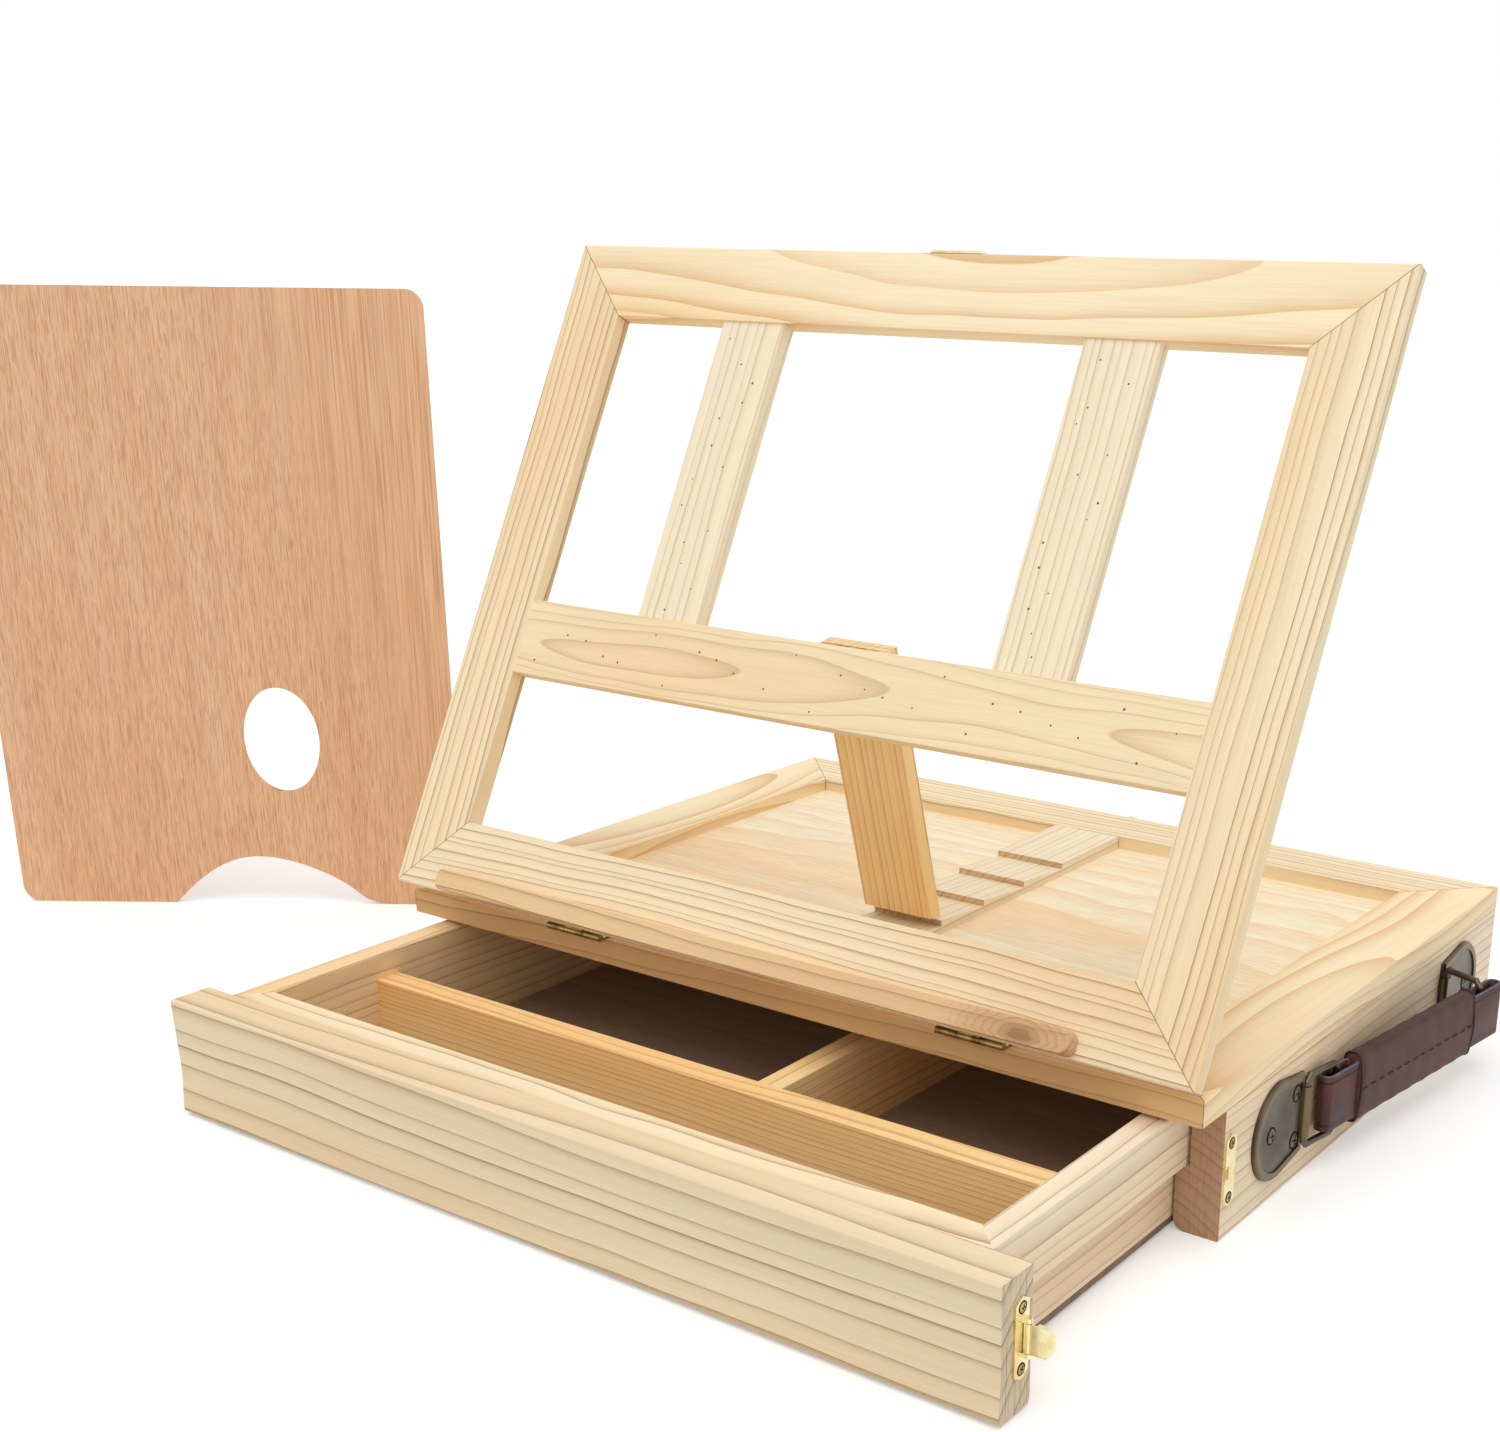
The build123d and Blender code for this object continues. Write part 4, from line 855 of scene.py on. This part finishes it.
def coverSection(along, grow):
    look = strapLook
    tall, thick = look["coverHeight"] / 2 + grow, look["coverThick"] / 2 + grow
    soft = look["edgeRound"]
    points = []
    for cornerOut, cornerRise, start in ((1, 1, 0), (-1, 1, 90), (-1, -1, 180), (1, -1, 270)):
        for step in range(look["roundSteps"] + 1):
            angle = math.radians(start + step * 90 / look["roundSteps"])
            out = cornerOut * (thick - soft) + soft * math.cos(angle)
            points.append((out, cornerRise * (tall - soft) + soft * math.sin(angle)))
        if cornerOut != cornerRise:  # a long face, slightly crowned, follows this corner
            for share in look["crownShares"]:
                out = cornerOut * (thick + look["crown"] * (1 - share * share))
                points.append((out, share * (tall - soft) * -cornerOut))
    return [strapSpot(along, out, rise) for out, rise in points]


def slotOfCover(face):
    rise = abs(face.calc_center_median().z - strapLook["level"])
    return 1 if rise > strapLook["coverHeight"] / 2 - strapLook["foldBand"] else 0


coverStart = strapLook["coverFrom"]
coverEnd = strapSpan - strapLook["coverBack"]
endLength, endShrink, waves = strapLook["endLength"], strapLook["endShrink"], strapLook["waves"]
coverRows = [coverSection(coverStart, -endShrink), coverSection(coverStart + endLength, 0.0)]
for step in range(1, waves):
    along = coverStart + endLength + (coverEnd - coverStart - endLength * 2) * step / waves
    coverRows.append(coverSection(along, strapLook["waveHeight"] * math.sin(step * strapLook["waveTurn"])))
coverRows += [coverSection(coverEnd - endLength, 0.0), coverSection(coverEnd, -endShrink)]
cover = sweptPiece("strapCover", coverRows, True, [leather, leatherFold], slotOfCover)


def weltPiece(name, along):
    middle = strapSpot(along, 0.0, 0.0)
    corners = circle(strapLook["threadSides"])
    rows = []
    for point in coverSection(along, 0.0):
        outward = (point - middle).normalized()
        rows.append([point + (outward * x + strapWay * y) * strapLook["weltRadius"] for x, y in corners])
    return sweptPiece(name, rows + rows[:1], False, [thread])


def bandLoop(low, high, thick):
    half = thick / 2
    steps = strapLook["loopSteps"]
    points = []
    for middle, start in ((high - half, -90), (low + half, 90)):
        for step in range(steps + 1):
            angle = math.radians(start + step * 180 / steps)
            points.append((middle + half * math.cos(angle), half * math.sin(angle)))
    return points


def slotOfLoop(face):
    return 1 if abs(face.normal.z) > strapLook["edgeTilt"] else 0


def loopPiece(name, low, high):
    wall, soft, thick = strapLook["wall"], strapLook["loopEdge"], strapLook["loopThick"]
    rise = strapLook["loopHeight"] / 2 - soft
    outer = bandLoop(low, high, thick)
    inner = bandLoop(low + wall, high - wall, thick - 2 * wall)
    form = bmesh.new()
    rows = [[form.verts.new(strapSpot(along, out, level)) for along, out in points]
            for points, level in ((inner, -rise), (inner, rise), (outer, rise), (outer, -rise))]
    upperRidge = [form.verts.new((a.co + b.co) / 2 + upward * soft) for a, b in zip(rows[1], rows[2])]
    lowerRidge = [form.verts.new((a.co + b.co) / 2 - upward * soft) for a, b in zip(rows[0], rows[3])]
    ring = [rows[0], rows[1], upperRidge, rows[2], rows[3], lowerRidge]
    for lower, upper in zip(ring, ring[1:] + ring[:1]):
        joinRows(form, lower, upper)
    return shapedObject(name, form, (loopLeather, leatherEdge), True, slotOfLoop)


frontLoop = loopPiece("strapLoopFront", -strapLook["frontTail"], coverStart + strapLook["tuck"])
rearLoop = loopPiece("strapLoopRear", coverEnd - strapLook["tuck"], strapSpan + strapLook["rearTail"])


def stitchShape():
    form = bmesh.new()
    corners = circle(strapLook["threadSides"])
    rows = []
    for share in strapLook["stitchShares"]:
        along = share * strapLook["stitchLength"] / 2
        size = strapLook["stitchRadius"] * math.sqrt(max(0.05, 1 - share ** 4))
        flat = size * strapLook["stitchFlat"]
        rows.append([form.verts.new((along, x * size, y * flat)) for x, y in corners])
    for low, high in zip(rows, rows[1:]):
        joinRows(form, low, high)
    form.faces.new(rows[0])
    form.faces.new(reversed(rows[-1]))
    return shapedObject("stitchShape", form, smooth=True)


# Geometry Nodes: stitches laid end to end along a line
def stitchTree():
    tree, entry = newTree("stitchesAlongLine", {
        "Geometry": "Geometry", "Shape": "Object", "Pitch": "Float", "Finish": "Material",
    })
    line = addNode(tree, "GeometryNodeMeshToCurve", {"Mesh": entry["Geometry"]}).outputs[0]
    inputs = {"Curve": line, "Length": entry["Pitch"]}
    even = addNode(tree, "GeometryNodeResampleCurve", inputs, mode="LENGTH").outputs[0]
    tangent = addNode(tree, "GeometryNodeInputTangent").outputs[0]
    aim = addNode(tree, "FunctionNodeAlignRotationToVector", {"Vector": tangent}, axis="X").outputs[0]
    shape = addNode(tree, "GeometryNodeObjectInfo", {"Object": entry["Shape"]}).outputs["Geometry"]
    copies = addNode(tree, "GeometryNodeInstanceOnPoints", {
        "Points": even, "Instance": shape, "Rotation": aim,
    })
    return endTree(tree, copies, entry["Finish"])


stitch = stitchShape()
stitchOut = strapLook["coverThick"] / 2 + strapLook["crown"] - strapLook["stitchSink"]
stitchEnds = (coverStart + strapLook["stitchMargin"], coverEnd - strapLook["stitchMargin"])
stitchPoints = [strapSpot(along, side * stitchOut, 0.0) for side in (1, -1) for along in stitchEnds]
stitchRun = bpy.data.meshes.new("stitchRun")
stitchRun.from_pydata([tuple(point) for point in stitchPoints], [(0, 1), (2, 3)], [])
stitches = plainPiece("strapStitches", newObject("stitchRun", stitchRun), stitchTree(), {
    "Shape": stitch, "Pitch": strapLook["stitchPitch"], "Finish": thread,
})
bpy.data.objects.remove(stitch)
frontWelt = weltPiece("strapWeltFront", coverStart + strapLook["weltAlong"])
rearWelt = weltPiece("strapWeltRear", coverEnd - strapLook["weltAlong"])
for piece in (cover, frontLoop, rearLoop, stitches, frontWelt, rearWelt):
    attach(piece, "strap")
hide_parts("handle_strap")
print("strap made")

# Floor, light and background
studio = {"floorSize": 12.0, "floorTone": 0.80, "floorLift": 0.30, "skyLight": 0.70, "lampPower": 1.12,
          "lampSoftness": 50.0, "lampTurn": (16.0, 8.0, 0.0)}


def seenDirectly(tree):  # by the camera, in a reflection or through glass
    rays = addNode(tree, "ShaderNodeLightPath").outputs
    seen = sums(tree, "MAXIMUM", rays["Is Camera Ray"], rays["Is Glossy Ray"])
    return sums(tree, "MAXIMUM", seen, rays["Is Transmission Ray"])


reach, tone = studio["floorSize"], studio["floorTone"]
floorCorners = [(-reach, -reach, 0), (reach, -reach, 0), (reach, reach, 0), (-reach, reach, 0)]
floorMesh = bpy.data.meshes.new("floor")
floorMesh.from_pydata(floorCorners, [], [(0, 1, 2, 3)])
floor = newObject("floor", floorMesh)
floorFinish, floorTree, floorShader = newMaterial("palePaper")
floorShader.inputs["Base Color"].default_value = (tone, tone, tone, 1)
floorShader.inputs["Roughness"].default_value = 1.0
floorShader.inputs["Specular IOR Level"].default_value = 0.0
lift = times(floorTree, seenDirectly(floorTree), studio["floorLift"])
glow = addNode(floorTree, "ShaderNodeEmission", {"Strength": lift})
both = addNode(floorTree, "ShaderNodeAddShader", {0: floorShader.outputs[0], 1: glow.outputs[0]})
floorTree.links.new(both.outputs[0], floorTree.nodes["Material Output"].inputs["Surface"])
floorMesh.materials.append(floorFinish)

world = bpy.data.worlds.new("studio")
bpy.context.scene.world = world
world.use_nodes = True
skyTree = world.node_tree
backdrop = skyTree.nodes["Background"]
skyStrength = addNode(skyTree, "ShaderNodeMapRange", {
    "Value": seenDirectly(skyTree), "To Min": studio["skyLight"], "To Max": 1.0,
})
skyTree.links.new(skyStrength.outputs[0], backdrop.inputs["Strength"])
backdrop.inputs["Color"].default_value = (1, 1, 1, 1)

lampData = bpy.data.lights.new("overhead", "SUN")
lampData.energy = studio["lampPower"]
lampData.angle = math.radians(studio["lampSoftness"])
lamp = newObject("overhead", lampData)
lamp.rotation_euler = [math.radians(value) for value in studio["lampTurn"]]

# Camera, at the photograph's viewing angle
view = {"place": (0.502988, -0.768595, 0.369626), "right": (0.82409869, 0.56634956, 0.01046577),
        "up": (-0.2038866, 0.27933753, 0.93829676), "lens": 48.06, "shift": (-0.1172, 0.1602)}
cameraData = bpy.data.cameras.new("camera")
cameraData.lens = view["lens"]
cameraData.sensor_width = 36.0
cameraData.sensor_fit = "HORIZONTAL"
cameraData.shift_x, cameraData.shift_y = view["shift"]
cameraData.clip_start = 0.01
camera = newObject("camera", cameraData)
right, up = Vector(view["right"]), Vector(view["up"])
turn = Matrix((right, up, right.cross(up))).transposed()
camera.matrix_world = Matrix.Translation(view["place"]) @ turn.to_4x4()
bpy.context.scene.camera = camera
bpy.context.scene.view_settings.view_transform = "Standard"
print("camera and light set")
